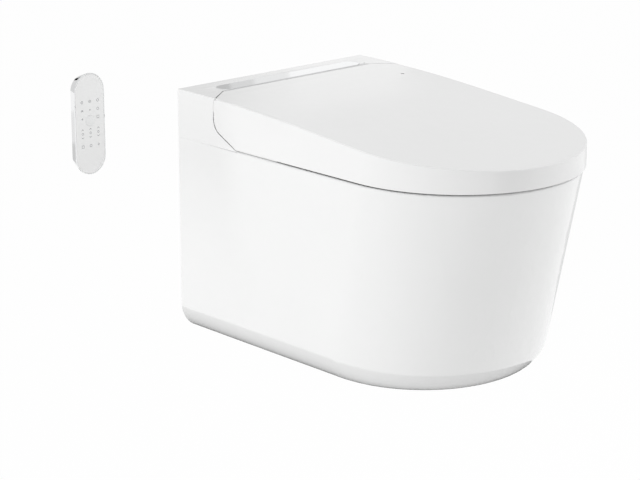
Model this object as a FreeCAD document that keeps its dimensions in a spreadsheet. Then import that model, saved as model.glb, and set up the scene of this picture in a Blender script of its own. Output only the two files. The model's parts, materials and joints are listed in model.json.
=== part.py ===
import FreeCAD, Part
import Sketcher
import math
import os
import re

# Wall-hung shower toilet with a heated seat, and the remote control beside it on the wall.
# Millimetres. X runs to the user's right-hand side seen from the room, +Y runs into the wall,
# +Z is up. The origin is the middle of the two wall fixings, on the face of the wall.

doc = FreeCAD.newDocument("shower_toilet")
sheet = doc.addObject("Spreadsheet::Sheet", "dims")

drivingSizes = {
    # overall form
    "BowlWidth": 380,
    "RimReach": 579,        # wall to the nose of the ceramic rim
    "FootSetback": 68,      # how much further back the foot of the nose lies
    "RimHeight": 310,       # underside to rim
    "DeckHeight": 383.5,    # underside to the flat rear top
    "FixingHeight": 210,    # underside to the wall fixings
    "FootRound": 46,
    "CeramicWall": 11,
    "DeckThick": 12,
    # bowl, trap and connections
    "RimSideWidth": 48,
    "RimNoseWidth": 36,
    "BowlBack": 225,        # wall to the rear edge of the bowl's opening
    "SumpReach": 330,       # wall to the lowest part of the bowl
    "TrapBore": 27,
    "TrapLow": 52,          # underside to the middle of the trap's lowest run
    "WeirHeight": 148,
    "WeirReach": 158,
    "OutletDrop": 100,      # fixings down to the waste outlet
    "OutletBore": 42,
    "SpigotRadius": 51,
    "SpigotLength": 45,
    "InletRise": 35,        # fixings up to the flush inlet
    "InletBore": 27.5,
    "InletLength": 42,
    "FlushPipeRadius": 22.5,
    "FixingSpacing": 180,
    "FixingBore": 6.5,
    "SleeveWall": 3.5,
    "BackWall": 16,
    "WindowPlay": 12,       # spigot to the edge of the opening in the back
    "EarDrop": 32,          # fixings down to the lower edge of the ears they pass through
    "EarRib": 14,
    "RimRound": 3,
    "BowlLipRound": 6,
    # lid
    "LidOverhang": 4,
    "LidGap": 2.4,
    "LidSkin": 3,
    "LidWall": 3.5,
    "LidEdgeRound": 2.2,
    "TopSlope": 5.2,        # degrees
    "TopBend": 133,         # wall to where the slope would meet the flat deck
    "LidBackMiddle": 57,
    "LidBackSide": 88,
    "StripHalf": 144,
    "StripDepth": 30,
    "StripThick": 3.2,
    "StripProud": 0.7,
    # hinge
    "HingeReach": 104,
    "HingeDrop": 14.5,
    "PinRadius": 5,
    "PinPlay": 0.06,
    "BushWall": 1.4,
    "KnuckleRadius": 8.5,
    "KnuckleWidth": 20,
    "PostWidth": 24,
    "PostPlay": 2,
    "SideGap": 1,
    # rear housing
    "SeamGap": 2,
    "CornerGap": 0.6,
    "HousingWall": 3,
    "HousingJoint": 0.05,
    "TroughGap": 1,
    "PlateThick": 3,
    "BaseBoltSpacing": 155,
    "BaseBoltReach": 82,
    "BaseBoltRadius": 4,
    # seat
    "SeatInset": 5.5,
    "SeatBack": 222,
    "BumperHeight": 4,
    "SeatBaseThick": 3,
    "SeatThick": 22,
    "SeatHoleHalf": 108,
    "SeatHoleBack": 252,
    "SeatNoseWidth": 57,    # rim's nose to the front of the seat's hole
    "SeatWall": 3,
    "HeaterThick": 0.8,
    # washing nozzles
    "WandTilt": 12,         # degrees
    "PortReach": 236,
    "PortDrop": 11,         # rim down to the middle of the nozzle ports
    "WandRadius": 6,
    "WandLength": 122,
    "WandSpread": 11,
    "WandPlay": 0.35,
    "TipLength": 16,
    "RackWidth": 5,
    "ToothModule": 1,
    "PinionTeeth": 16,
    "PinionBehind": 38,
    "MotorRadius": 9,
    "MotorLength": 15,
    "MotorGap": 1.5,
    "ShaftRadius": 1.5,
    # module under the lid
    "ScrollPlay": 2.5,
    "CoverBack": 111,
    "CoverFront": 219,
    "CoverRise": 36,        # rim up to the cover's top
    "CoverWall": 2.5,
    "CoverRound": 8,
    "OutletSide": 53,
    "OutletHalf": 11.5,
    "OutletHigh": 14,
    "OutletDropIn": 20,     # rim down to the floor of the air outlets
    "ShaftDepth": 12,
    "GrilleSlots": 6,
    "HeaterFins": 8,
    "ShroudRound": 6,
    "FlapHalf": 13,
    "FanFoot": 2,
    "FanEye": 10,
    "ScrollWall": 1.5,
    "FanMotorRadius": 8,
    "FanMotorHeight": 9,
    "PocketStep": 2,
    "PocketBack": 190,
    "PocketDepth": 26,
    "SlotHalf": 26,
    "SlotBack": 128,
    "FanSpread": 50,
    "FanReach": 158,
    "FanRadius": 15,
    "ScrollRadius": 19,
    "ScrollHeight": 17,
    "FanBlades": 16,
    # remote control
    "LinerThick": 1.6,
    "LinerLift": 1.8,       # seat to the lid's inner panel
    "LinerBack": 262,
    "LensRadius": 2.6,
    "LensSide": 147.5,
    "LensReach": 140.2,
    "LampRadius": 1.3,
    "LampSide": 150.9,
    "LampReach": 50.3,
    "SeamReach": 81,
    "SeamDrop": 45,
    "SeamSlope": 26.5,      # degrees
    "SeamRound": 24,
    "LidStepHalf": 147,
    "StripGap": 1.5,
    "StripRound": 0.8,
    "RoofThick": 6,
    "SeatEdgeRound": 6,
    "InletInset": 48,
    "UnitDepth": 50,        # wall to the front of the inner units
    "CaseInset": 18,
    "CaseLength": 74,
    "CaseHeight": 34,
    "RibHeight": 3,
    "BoardRoom": 13,
    "BoardOff": 6,
    "BoardLeft": 80,
    "BoardLength": 102,
    "BoardTall": 52,
    "BoardLift": 4,
    "ChipSize": 12,
    "TankRadius": 16,
    "TankLength": 72,
    "TankGap": 16,
    "PumpSide": 44,
    "PumpRadius": 12.5,
    "PumpHeight": 26,
    "PumpHead": 13,
    "ValveInset": 74,
    "ValveLength": 54,
    "ValveHeight": 36,
    "CoilRadius": 8.5,
    "SupplyRise": 24,
    "WindowHalf": 19,
    "GlandRadius": 9,
    "RemoteSide": 370.6,    # fixings to the middle of the remote, to the left
    "RemoteRise": 151.8,
    "RemoteWidth": 53,
    "RemoteHeight": 149.5,
    "RemoteThick": 17.6,
    "RemoteTaper": 5.5,
    "HolderThick": 4.1,
    "HolderGap": 0.3,
    "FrameWall": 1.3,
    "KeyRadius": 8,
    "KeyTravel": 0.8,
    "KeyRise": 5,
    "FrameLip": 2,
    "FaceThick": 1.8,
    "TubWall": 1.8,
    "DoorHalf": 14,
    "DoorTall": 27,
    "BoardDepth": 7,
    "BoardThick": 1.6,
    "CellRadius": 12.2,
    "CellThick": 4.8,
    "HolderInset": 10,
    "HolderSpacing": 90,
    "HolderBore": 2.2,
    "SupplyRadius": 10.4,
    "CableRadius": 4,
}

for row, (alias, number) in enumerate(drivingSizes.items(), 1):
    sheet.set(f"A{row}", alias)
    sheet.set(f"B{row}", str(number))
    sheet.setAlias(f"B{row}", alias)
doc.recompute()

pieces = []


def bound(text):
    """The same expression with each alias read from the sheet."""
    return re.sub(r"\b([A-Z][A-Za-z]+)\b", r"dims.\1", text)


def size(text):
    return float(sheet.evalExpression(bound(text)))


def keep(item, name):
    item.Label = name
    pieces.append(item)
    return item


def scratchName(kind):
    return f"{kind}{len(doc.Objects)}"


def block(x0, x1, y0, y1, z0, z1):
    """A Part box between two corners, each coordinate an expression."""
    box = doc.addObject("Part::Box", scratchName("block"))
    for low, high, length, place in (
        (x0, x1, "Length", "x"), (y0, y1, "Width", "y"), (z0, z1, "Height", "z"),
    ):
        box.setExpression(length, bound(f"({high}) - ({low})"))
        box.setExpression(f"Placement.Base.{place}", bound(low))
    return box


turnTo = {
    "x": FreeCAD.Rotation(FreeCAD.Vector(0, 1, 0), 90),
    "y": FreeCAD.Rotation(FreeCAD.Vector(1, 0, 0), -90),
    "z": FreeCAD.Rotation(),
}


def rod(axis, x, y, z, radius, length):
    """A Part cylinder that starts at the point and runs along +axis."""
    cylinder = doc.addObject("Part::Cylinder", scratchName("rod"))
    cylinder.setExpression("Radius", bound(radius))
    cylinder.setExpression("Height", bound(length))
    cylinder.Placement = FreeCAD.Placement(FreeCAD.Vector(), turnTo[axis])
    for place, text in (("x", x), ("y", y), ("z", z)):
        cylinder.setExpression(f"Placement.Base.{place}", bound(text))
    return cylinder


def join(parts):
    fused = doc.addObject("Part::MultiFuse", scratchName("join"))
    fused.Shapes = parts
    return fused


def gather(parts):
    group = doc.addObject("Part::Compound", scratchName("group"))
    group.Links = parts
    return group


def carve(base, tools):
    result = doc.addObject("Part::Cut", scratchName("carve"))
    result.Base = base
    result.Tool = tools[0] if len(tools) == 1 else join(tools)
    return result


def originPlane(body, role):
    return next(plane for plane in body.Origin.OriginFeatures if plane.Role == role)


def sketchOn(body, role, offset="0"):
    sketch = body.newObject("Sketcher::SketchObject", scratchName("sketch"))
    sketch.AttachmentSupport = (originPlane(body, role), "")
    sketch.MapMode = "FlatFace"
    sketch.setExpression("AttachmentOffset.Base.z", bound(offset))
    return sketch


def fixPoint(sketch, item, end, x, y):
    """Tie one point of the sketch to its two expressions, measured from the sketch's origin."""
    for kind, axis, text in (("DistanceX", -2, x), ("DistanceY", -1, y)):
        number = size(text)
        if abs(number) < 1e-9:
            sketch.addConstraint(Sketcher.Constraint("PointOnObject", item, end, axis))
            continue
        index = sketch.addConstraint(Sketcher.Constraint(kind, -1, 1, item, end, number))
        sketch.setExpression(f"Constraints[{index}]", bound(text))


def polygon(sketch, corners):
    points = [FreeCAD.Vector(size(x), size(y), 0) for x, y in corners]
    first = sketch.GeometryCount
    count = len(points)
    for i in range(count):
        sketch.addGeometry(Part.LineSegment(points[i], points[(i + 1) % count]))
    for i in range(count):
        following = first + (i + 1) % count
        sketch.addConstraint(Sketcher.Constraint("Coincident", first + i, 2, following, 1))
    for i, (x, y) in enumerate(corners):
        fixPoint(sketch, first + i, 1, x, y)


def circle(sketch, x, y, radius):
    middle = FreeCAD.Vector(size(x), size(y), 0)
    index = sketch.addGeometry(Part.Circle(middle, FreeCAD.Vector(0, 0, 1), size(radius)))
    fixPoint(sketch, index, 3, x, y)
    constraint = sketch.addConstraint(Sketcher.Constraint("Radius", index, size(radius)))
    sketch.setExpression(f"Constraints[{constraint}]", bound(radius))


def newBody(name):
    return keep(doc.addObject("PartDesign::Body", name), name)


def padOf(body, sketch, length, midplane=False, reverse=False):
    pad = body.newObject("PartDesign::Pad", scratchName("pad"))
    pad.Profile = sketch
    pad.setExpression("Length", bound(length))
    pad.Midplane = midplane
    pad.Reversed = reverse
    sketch.Visibility = False
    return pad


def pocketOf(body, sketch, length, midplane=False, reverse=False):
    """A pocket whose cut is compared with the solid before it."""
    doc.recompute()
    before = body.Shape.Volume
    pocket = body.newObject("PartDesign::Pocket", scratchName("pocket"))
    pocket.Profile = sketch
    pocket.setExpression("Length", bound(length))
    pocket.Midplane = midplane
    pocket.Reversed = reverse
    doc.recompute()
    if not body.Shape.Volume < before - 0.01:
        raise RuntimeError(f"{body.Label}: the pocket cuts nothing")
    return pocket


def edgesWhere(shape, test):
    return [f"Edge{i}" for i, edge in enumerate(shape.Edges, 1) if test(edge)]


def filletOf(body, radius, test):
    doc.recompute()
    base = body.Tip
    names = edgesWhere(base.Shape, test)
    if not names:
        raise RuntimeError(f"{body.Label}: no edge to round")
    fillet = body.newObject("PartDesign::Fillet", scratchName("fillet"))
    fillet.Base = (base, names)
    fillet.setExpression("Radius", bound(radius))
    doc.recompute()
    return fillet


def runsAlong(edge, axis):
    """True for a straight edge parallel to the axis."""
    if not isinstance(edge.Curve, Part.Line):
        return False
    return abs(abs(edge.Curve.Direction.dot(axis)) - 1) < 1e-6


def solidOf(shape):
    """The single clean solid in the result of a boolean."""
    clean = shape.removeSplitter()
    return clean.Solids[0] if len(clean.Solids) == 1 else clean


def shaped(name, shape):
    """A sub-part whose form is set by code that reads the sheet."""
    item = doc.addObject("Part::Feature", name)
    item.Shape = shape
    return keep(item, name)


def vector(x, y, z):
    return FreeCAD.Vector(x, y, z)


xAxis = vector(1, 0, 0)
yAxis = vector(0, 1, 0)
zAxis = vector(0, 0, 1)

# Levels and places that several pieces share, as expressions.
foot = "(-FixingHeight)"
rim = "(RimHeight - FixingHeight)"
deckTop = "(DeckHeight - FixingHeight)"
halfWidth = "(BowlWidth / 2)"
coverHalf = "(FanSpread + ScrollRadius + ScrollPlay + CoverWall)"
pocketHalf = f"({coverHalf} - PocketStep)"
postInner = f"({coverHalf} + PostPlay)"
inletSide = f"({halfWidth} - InletInset)"
tankStart = f"({halfWidth} - ValveInset - TankGap - TankLength)"
seatHoleFront = "(RimReach - SeatNoseWidth)"
rimCentre = "(BowlWidth / 2 - RimReach)"
lidCentre = f"({rimCentre} - LidOverhang)"
hingeY = "(-HingeReach)"
hingeZ = f"({deckTop} - HingeDrop)"
troughRadius = "(sqrt((HingeReach - LidBackMiddle) ^ 2 + HingeDrop ^ 2) + TroughGap)"
lowDeck = f"({hingeZ} - {troughRadius})"
plateTop = f"({rim} + PlateThick)"
coverTop = f"({rim} + CoverRise)"
shellHalf = f"({halfWidth} - LidWall - SideGap)"
bushRadius = "(PinRadius + PinPlay + BushWall)"
seatHalf = f"({halfWidth} - SeatInset)"
seatCentre = lidCentre
seatKnuckle = f"({postInner} + PostWidth + SideGap)"
lidKnuckle = f"({seatKnuckle} + KnuckleWidth + SideGap)"
supplyZ = f"({rim} + SupplyRise)"
seatUnder = f"({rim} + BumperHeight)"
seatTop = f"({seatUnder} + SeatThick)"
linerUnder = f"({seatTop} + LinerLift)"
outletLow = f"({rim} - OutletDropIn)"
flapZ = f"({outletLow} + OutletHigh + 3)"
remoteBack = "(-HolderThick - HolderGap)"
remoteFront = f"({remoteBack} - RemoteThick)"


# ---------------------------------------------------------------- ceramic

def dOutline(half, centreY, backY, z):
    """A closed D: straight back and sides, and a half round towards the room."""
    left = vector(-half, backY, z)
    right = vector(half, backY, z)
    startArc = vector(half, centreY, z)
    endArc = vector(-half, centreY, z)
    nose = vector(0, centreY - half, z)
    edges = [
        Part.makeLine(left, right),
        Part.makeLine(right, startArc),
        Part.Arc(startArc, nose, endArc).toShape(),
        Part.makeLine(endArc, left),
    ]
    return Part.Wire(edges)


def obliqueD(inset, bottomZ, topZ, backY):
    """The skirt's form: the D pushed upwards and towards the room, inset from the outside."""
    footZ = size(foot)
    rimZ = size(rim)
    lean = -size("FootSetback") / (rimZ - footZ)
    half = size(halfWidth) - inset
    centreAt = size(rimCentre) - lean * (rimZ - bottomZ)
    face = Part.Face(dOutline(half, centreAt, backY, bottomZ))
    rise = topZ - bottomZ
    return face.extrude(vector(0, lean * rise, rise))


def ovalWire(half, backY, noseY, z):
    """A closed smooth outline with a round nose and a squarer back."""
    middleY = noseY + half * 1.04
    points = []
    for step in range(24):
        turn = 2 * math.pi * step / 24
        reach = (backY - middleY) if math.sin(turn) > 0 else (middleY - noseY)
        power = 0.72 if math.sin(turn) > 0 else 1.0
        across = math.copysign(abs(math.cos(turn)) ** power, math.cos(turn))
        along = math.copysign(abs(math.sin(turn)) ** power, math.sin(turn))
        points.append(vector(half * across, middleY + reach * along, z))
    curve = Part.BSplineCurve()
    curve.interpolate(points, PeriodicFlag=True)
    return Part.Wire([curve.toShape()])


def bowlForm(grow):
    """The hollow of the bowl, from the rim down to the sump, grown by a wall."""
    rimZ = size(rim)
    footZ = size(foot)
    half = size(f"{halfWidth} - RimSideWidth")
    back = -size("BowlBack")
    nose = -size("RimReach - RimNoseWidth")
    sump = -size("SumpReach")
    bore = size("TrapBore")
    low = footZ + size("TrapLow")
    levels = [
        (1.00, rimZ + 2, 0.0),
        (1.00, rimZ - 26, 0.0),
        (0.93, rimZ - 80, 0.07),
        (0.70, rimZ - 150, 0.30),
        (0.40, rimZ - 205, 0.66),
    ]
    wires = []
    for share, z, pull in levels:
        wide = half * share + grow
        rear = back + (sump + bore - back) * pull + grow
        front = nose + (sump - bore * 1.2 - nose) * pull - grow
        wires.append(ovalWire(wide, rear, front, z))
    wires.append(ovalWire(bore + 3 + grow, sump + bore + grow, sump - bore - 4 - grow, low + 8))
    return Part.makeLoft(wires, True, False)


def trapForm(radius, outletRadius):
    """The waterway: under the sump, up over the weir and down into the outlet, as a swept tube."""
    footZ = size(foot)
    low = footZ + size("TrapLow")
    weir = footZ + size("WeirHeight")
    outlet = -size("OutletDrop")
    flare = 18
    flareAt = -size("SpigotLength") - flare
    turns = [
        vector(0, -size("SumpReach") - 6, low),
        vector(0, -size("SumpReach") + 74, low),
        vector(0, -size("WeirReach") - 26, weir),
        vector(0, -size("WeirReach") + 26, weir),
        vector(0, flareAt - 22, outlet),
        vector(0, flareAt, outlet),
    ]
    edges = roundedRun(turns)
    path = Part.Wire(edges)
    start = Part.Wire([Part.Circle(turns[0], yAxis, radius).toShape()])
    tube = path.makePipeShell([start], True, False)
    ball = Part.makeSphere(radius, turns[0])
    mouthStart = vector(0, -size("SpigotLength"), outlet)
    mouth = Part.makeCylinder(outletRadius, size("SpigotLength"), mouthStart, yAxis)
    cone = Part.makeCone(radius, outletRadius, flare, vector(0, flareAt, outlet), yAxis)
    return tube.fuse([ball, mouth, cone])


def roundedRun(turns):
    """Straight runs joined by arcs that touch both of them, each as large as its shorter run allows."""
    edges = []
    last = turns[0]
    for i in range(1, len(turns) - 1):
        corner = turns[i]
        before = (turns[i - 1] - corner)
        after = (turns[i + 1] - corner)
        shareBefore = 0.9 if i == 1 else 0.45
        shareAfter = 0.9 if i == len(turns) - 2 else 0.45
        reach = min(shareBefore * before.Length, shareAfter * after.Length)
        before.normalize()
        after.normalize()
        enter = corner + before * reach
        leave = corner + after * reach
        bisect = before + after
        bisect.normalize()
        half = before.getAngle(bisect)
        radius = reach * math.tan(half)
        middle = corner + bisect * (radius / math.sin(half) - radius)
        edges.append(Part.makeLine(last, enter))
        edges.append(Part.Arc(enter, middle, leave).toShape())
        last = leave
    edges.append(Part.makeLine(last, turns[-1]))
    return edges


def seamFoot():
    """How far from the wall the rear cover's cheeks meet the rim."""
    slope = math.radians(size("SeamSlope"))
    fall = size(f"{deckTop} - SeamDrop - {rim}")
    return size("SeamReach") + fall / math.tan(slope) - size("SeamGap") / math.sin(slope)


def makeBowl():
    """The ceramic in three nodes: bowl with trap and inlet, the flat deck, the skirt with the back wall."""
    footZ = size(foot)
    rimZ = size(rim)
    half = size(halfWidth)
    wall = size("CeramicWall")
    behind = size("FootSetback") + 20
    skirt = obliqueD(0, footZ, rimZ, behind)
    bottomEdges = [
        edge for edge in skirt.Edges
        if abs(edge.BoundBox.ZMax - footZ) < 0.01 and edge.BoundBox.YMin < behind - 10
    ]
    skirt = skirt.makeFillet(size("FootRound"), bottomEdges)
    rimEdges = [
        edge for edge in skirt.Edges
        if edge.BoundBox.ZMin > rimZ - 0.01 and edge.BoundBox.YMin < behind - 70
    ]
    cheekCorner = vector(-2 * half, -seamFoot(), footZ)
    underCheeks = skirt.common(Part.makeBox(4 * half, 2 * behind + seamFoot(), 800, cheekCorner))
    skirt = skirt.makeFillet(size("RimRound"), rimEdges).fuse(underCheeks).removeSplitter()
    behindWall = Part.makeBox(4 * half, 200, 800, vector(-2 * half, 0, footZ - 50))
    skirt = skirt.cut(behindWall)

    inside = obliqueD(wall, footZ + wall, rimZ - size("DeckThick"), behind)
    inside = inside.cut(Part.makeBox(4 * half, 200, 800, vector(-2 * half, -size("BackWall"), footZ - 50)))
    hollowEdges = [
        edge for edge in inside.Edges
        if abs(edge.BoundBox.ZMax - footZ - wall) < 0.01
        and edge.BoundBox.YMin < -size("BackWall") - 1
    ]
    inside = inside.makeFillet(size("FootRound - CeramicWall"), hollowEdges)

    outlet = -size("OutletDrop")
    spigot = size("SpigotRadius")
    through = 2 * size("BackWall")
    lowest = footZ + 2 * wall
    middleHalf = spigot + size("WindowPlay")
    window = Part.makeBox(
        2 * middleHalf, through, size(f"{rim} - DeckThick") - lowest,
        vector(-middleHalf, -0.75 * through, lowest),
    )
    lowHalf = half - wall - size("EarRib")
    lowWindow = Part.makeBox(
        2 * lowHalf, through, -size("EarDrop") - lowest, vector(-lowHalf, -0.75 * through, lowest),
    )
    lowCorners = [edge for edge in lowWindow.Edges if runsAlong(edge, yAxis)]
    lowWindow = lowWindow.makeFillet(size("FootRound - CeramicWall") / 2, lowCorners)
    shell = skirt.cut([inside, window, lowWindow])

    trapWall = spigot - size("OutletBore")
    trapOuter = trapForm(size("TrapBore") + trapWall, spigot)
    inlet = size("InletRise")
    inletOuter = Part.makeCylinder(
        size("InletBore") + trapWall, size("BowlBack") + 40,
        vector(0, -size("BowlBack") - 40, inlet), yAxis,
    )
    pocketBlock = Part.makeBox(
        2 * size(pocketHalf) + 2 * wall, size("BowlBack - SlotBack") + 2 * wall,
        size("PocketDepth + DeckThick") - 1,
        vector(-size(pocketHalf) - wall, -size("BowlBack") - wall, rimZ - size("PocketDepth + DeckThick")),
    )
    hollow = bowlForm(0)
    walled = [bowlForm(wall).common(skirt), trapOuter, inletOuter, pocketBlock.common(skirt)]
    inset = obliqueD(wall, rimZ - size("DeckThick"), rimZ + 1, behind)
    inset = inset.cut(Part.makeBox(4 * half, 200, 800, vector(-2 * half, -size("BackWall"), footZ - 50)))

    trapInner = trapForm(size("TrapBore"), size("OutletBore"))
    inletInner = Part.makeCylinder(
        size("InletBore"), size("InletLength"), vector(0, -size("InletLength"), inlet), yAxis,
    )
    flushWay = Part.makeCylinder(
        size("InletBore") - 5, size("BowlBack") + 40, vector(0, -size("BowlBack") - 60, inlet), yAxis,
    )
    notch = Part.makeBox(
        2 * size(pocketHalf), size("BowlBack - PocketBack") + 30, size("PocketDepth") + 5,
        vector(-size(pocketHalf), -size("BowlBack") - 30, rimZ - size("PocketDepth")),
    )
    slot = Part.makeBox(
        2 * size("SlotHalf"), size("PocketBack - SlotBack") + 5, size("PocketDepth") + 5,
        vector(-size("SlotHalf"), -size("PocketBack") - 5, rimZ - size("PocketDepth")),
    )
    fixings = [
        Part.makeCylinder(
            size("FixingBore + SleeveWall"), 3 * size("BackWall"),
            vector(side * size("FixingSpacing") / 2, -2 * size("BackWall"), 0), yAxis,
        )
        for side in (-1, 1)
    ]
    deckBolts = [
        Part.makeCylinder(
            size("BaseBoltRadius") + 3, 2 * size("DeckThick"),
            vector(
                side * size("BaseBoltSpacing") / 2, -size("BaseBoltReach"), rimZ - 1.5 * size("DeckThick"),
            ),
        )
        for side in (-1, 1)
    ]
    ways = [trapInner, inletInner, flushWay, notch, slot] + fixings + deckBolts
    deck = shell.common(inset).cut(walled + ways)
    outside = shell.cut(walled + [inset] + ways)
    shaped("pan_deck", solidOf(deck))
    shaped("pan_skirt", solidOf(outside))
    emptied = [form.cut(hollow) for form in walled]
    lip = [
        edge for edge in emptied[0].Edges
        if edge.BoundBox.ZMin > rimZ - 0.01 and edge.BoundBox.YMin > -size("RimReach - RimNoseWidth") - 2
    ]
    emptied[0] = emptied[0].makeFillet(size("BowlLipRound"), lip)
    opened = [form.cut(ways) for form in emptied]
    pan = opened[0].fuse(opened[1:])
    shaped("bowl", pan.Solids[0])


def makeWallParts():
    """Sleeves in the two fixing holes, and the lip seal in the flush inlet."""
    sleeves = []
    for side in (-1, 1):
        x = f"{side} * FixingSpacing / 2"
        outside = rod("y", x, "-BackWall - 0.2", "0", "FixingBore + SleeveWall - 0.1", "BackWall + 0.2")
        flange = rod("y", x, "-BackWall - 3.2", "0", "FixingBore + 2 * SleeveWall", "3")
        bore = rod("y", x, "-BackWall - 5", "0", "FixingBore", "BackWall + 10")
        sleeves.append(carve(join([outside, flange]), [bore]))
    keep(gather(sleeves), "wall_sleeves")
    ring = rod("y", "0", "-30", "InletRise", "InletBore - 0.2", "28")
    pipeWay = rod("y", "0", "-40", "InletRise", "FlushPipeRadius", "50")
    keep(carve(ring, [pipeWay]), "flush_seal")


# ---------------------------------------------------------------- lid

def underTop(drop):
    """All the room below the top surface, lowered by drop: flat at the wall, an arc, then the slope."""
    top = size(deckTop) - drop
    slope = math.radians(size("TopSlope"))
    bend = size("TopBend")
    radius = bend / math.tan(slope / 2)
    half = slope / 2
    low = size(foot)
    wide = 1.5 * size(halfWidth)
    reach = 1.5 * size("RimReach")
    start = vector(-wide, 0, top)
    middle = vector(-wide, -radius * math.sin(half), top - radius + radius * math.cos(half))
    end = vector(-wide, -bend * (1 + math.cos(slope)), top - bend * math.sin(slope))
    far = vector(-wide, -reach, end.z - (reach + end.y) * math.tan(slope))
    behind = vector(-wide, bend, top)
    corners = [far, vector(-wide, -reach, low), vector(-wide, bend, low), behind, start]
    edges = [Part.Arc(start, middle, end).toShape(), Part.makeLine(end, far)]
    edges += [Part.makeLine(a, b) for a, b in zip(corners, corners[1:])]
    return Part.Face(Part.Wire(edges)).extrude(vector(2 * wide, 0, 0))


def topAt(y):
    """Height of the top surface at a distance from the wall."""
    slope = math.radians(size("TopSlope"))
    bend = size("TopBend")
    radius = bend / math.tan(slope / 2)
    end = -bend * (1 + math.cos(slope))
    if y > end:
        return size(deckTop) - radius + math.sqrt(radius ** 2 - y ** 2)
    return size(deckTop) - bend * math.sin(slope) - (end - y) * math.tan(slope)


def behindSeam(shift, x0, x1):
    """The room behind and below the seam seen from the side, moved back by shift."""
    top = size(deckTop)
    corner = vector(0, -size("SeamReach"), top - size("SeamDrop"))
    above = vector(0, -size("LidBackSide"), top)
    down = (corner - above).normalize()
    slope = math.radians(size("SeamSlope"))
    forward = vector(0, -math.cos(slope), -math.sin(slope))
    backOne = vector(0, -down.z, down.y)
    backTwo = vector(0, -forward.z, forward.y)
    corner = corner + (backOne + backTwo) * (shift / (1 + backOne.dot(backTwo)))
    radius = size("SeamRound") + shift
    reach = radius * math.tan(down.getAngle(forward) / 2)
    enter = corner - down * reach
    leave = corner + forward * reach
    outward = (backOne + backTwo).normalize()
    middle = enter - backOne * radius + outward * radius
    high = enter - down * 80
    low = leave + forward * 120
    corners = [low, vector(0, 120, low.z), vector(0, 120, high.z), high, enter]
    edges = [Part.Arc(enter, middle, leave).toShape(), Part.makeLine(leave, low)]
    edges += [Part.makeLine(a, b) for a, b in zip(corners, corners[1:])]
    face = Part.Face(Part.Wire(edges))
    face.translate(vector(x0, 0, 0))
    return face.extrude(vector(x1 - x0, 0, 0))


def behindDiagonal(shift, side, z0, z1):
    """The corner of the top that belongs to the housing: behind the slanting edge, seen from above."""
    step = size("LidStepHalf")
    half = size(halfWidth)
    middle = -size("LidBackMiddle") + shift
    rear = -size("LidBackSide") + shift
    beyond = half + 10
    run = (rear - middle) / (half - step)
    corners = [
        vector(side * step, middle, z0),
        vector(side * beyond, middle + run * (beyond - step), z0),
        vector(side * beyond, 40, z0),
        vector(side * step, 40, z0),
    ]
    return Part.Face(Part.makePolygon(corners + corners[:1])).extrude(vector(0, 0, z1 - z0))


def hingeRod(x0, x1, radius):
    return Part.makeCylinder(radius, x1 - x0, vector(x0, size(hingeY), size(hingeZ)), xAxis)


def spans(first, width):
    """The two mirrored stretches of X from first outwards."""
    return [(first, first + width), (-first - width, -first)]


def cornerRadius():
    """How far from the hinge's axis the lid's rear upper corners lie."""
    return math.hypot(size("HingeReach - LidBackSide"), size("HingeDrop"))


def makeLid():
    """One moulded shell: sloping top, upright sides that end at the seam, and its hinge knuckles."""
    half = size(halfWidth)
    wall = size("LidWall")
    low = size(f"{rim} + LidGap")
    high = size(deckTop) + 10
    rear = -size("LidBackMiddle")
    centreAt = size(lidCentre)
    outer = Part.Face(dOutline(half, centreAt, rear, low)).extrude(vector(0, 0, high - low))
    outer = outer.common(underTop(0))
    rimEdges = [
        edge for edge in outer.Edges
        if edge.BoundBox.ZMin > low + 5 and edge.BoundBox.YLength > 1
    ]
    outer = outer.makeFillet(size("LidEdgeRound"), rimEdges)
    inner = Part.Face(dOutline(half - wall, centreAt, 40, low - 5)).extrude(vector(0, 0, high - low))
    shell = outer.cut(inner.common(underTop(size("LidSkin"))))
    cuts = []
    rounded = hingeRod(-half - 10, half + 10, cornerRadius())
    for side in (-1, 1):
        edge = side * (half + 5)
        inside = side * (size(shellHalf) - 0.5)
        cuts.append(behindSeam(0, min(edge, inside), max(edge, inside)).cut(rounded))
        cuts.append(behindDiagonal(0, side, size(f"{deckTop} - LidSkin") - 1, high))
    shell = shell.cut(cuts)
    lensHole = Part.makeCylinder(
        size("LensRadius") + 0.2, 30, vector(size("LensSide"), -size("LensReach"), size(deckTop) - 20),
    )
    shell = shell.cut(lensHole)
    start = size(lidKnuckle)
    for x0, x1 in spans(start, size("KnuckleWidth")):
        web = Part.makeBox(
            x1 - x0, 14, size("HingeDrop"), vector(x0, size(hingeY) - 8, size(hingeZ)),
        ).common(underTop(1))
        shell = shell.fuse([hingeRod(x0, x1, size("KnuckleRadius")), web])
    knuckles = spans(start, size("KnuckleWidth"))
    shell = shell.cut([hingeRod(x0 - 1, x1 + 1, size(bushRadius)) for x0, x1 in knuckles])
    shaped("lid_shell", solidOf(shell))


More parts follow.
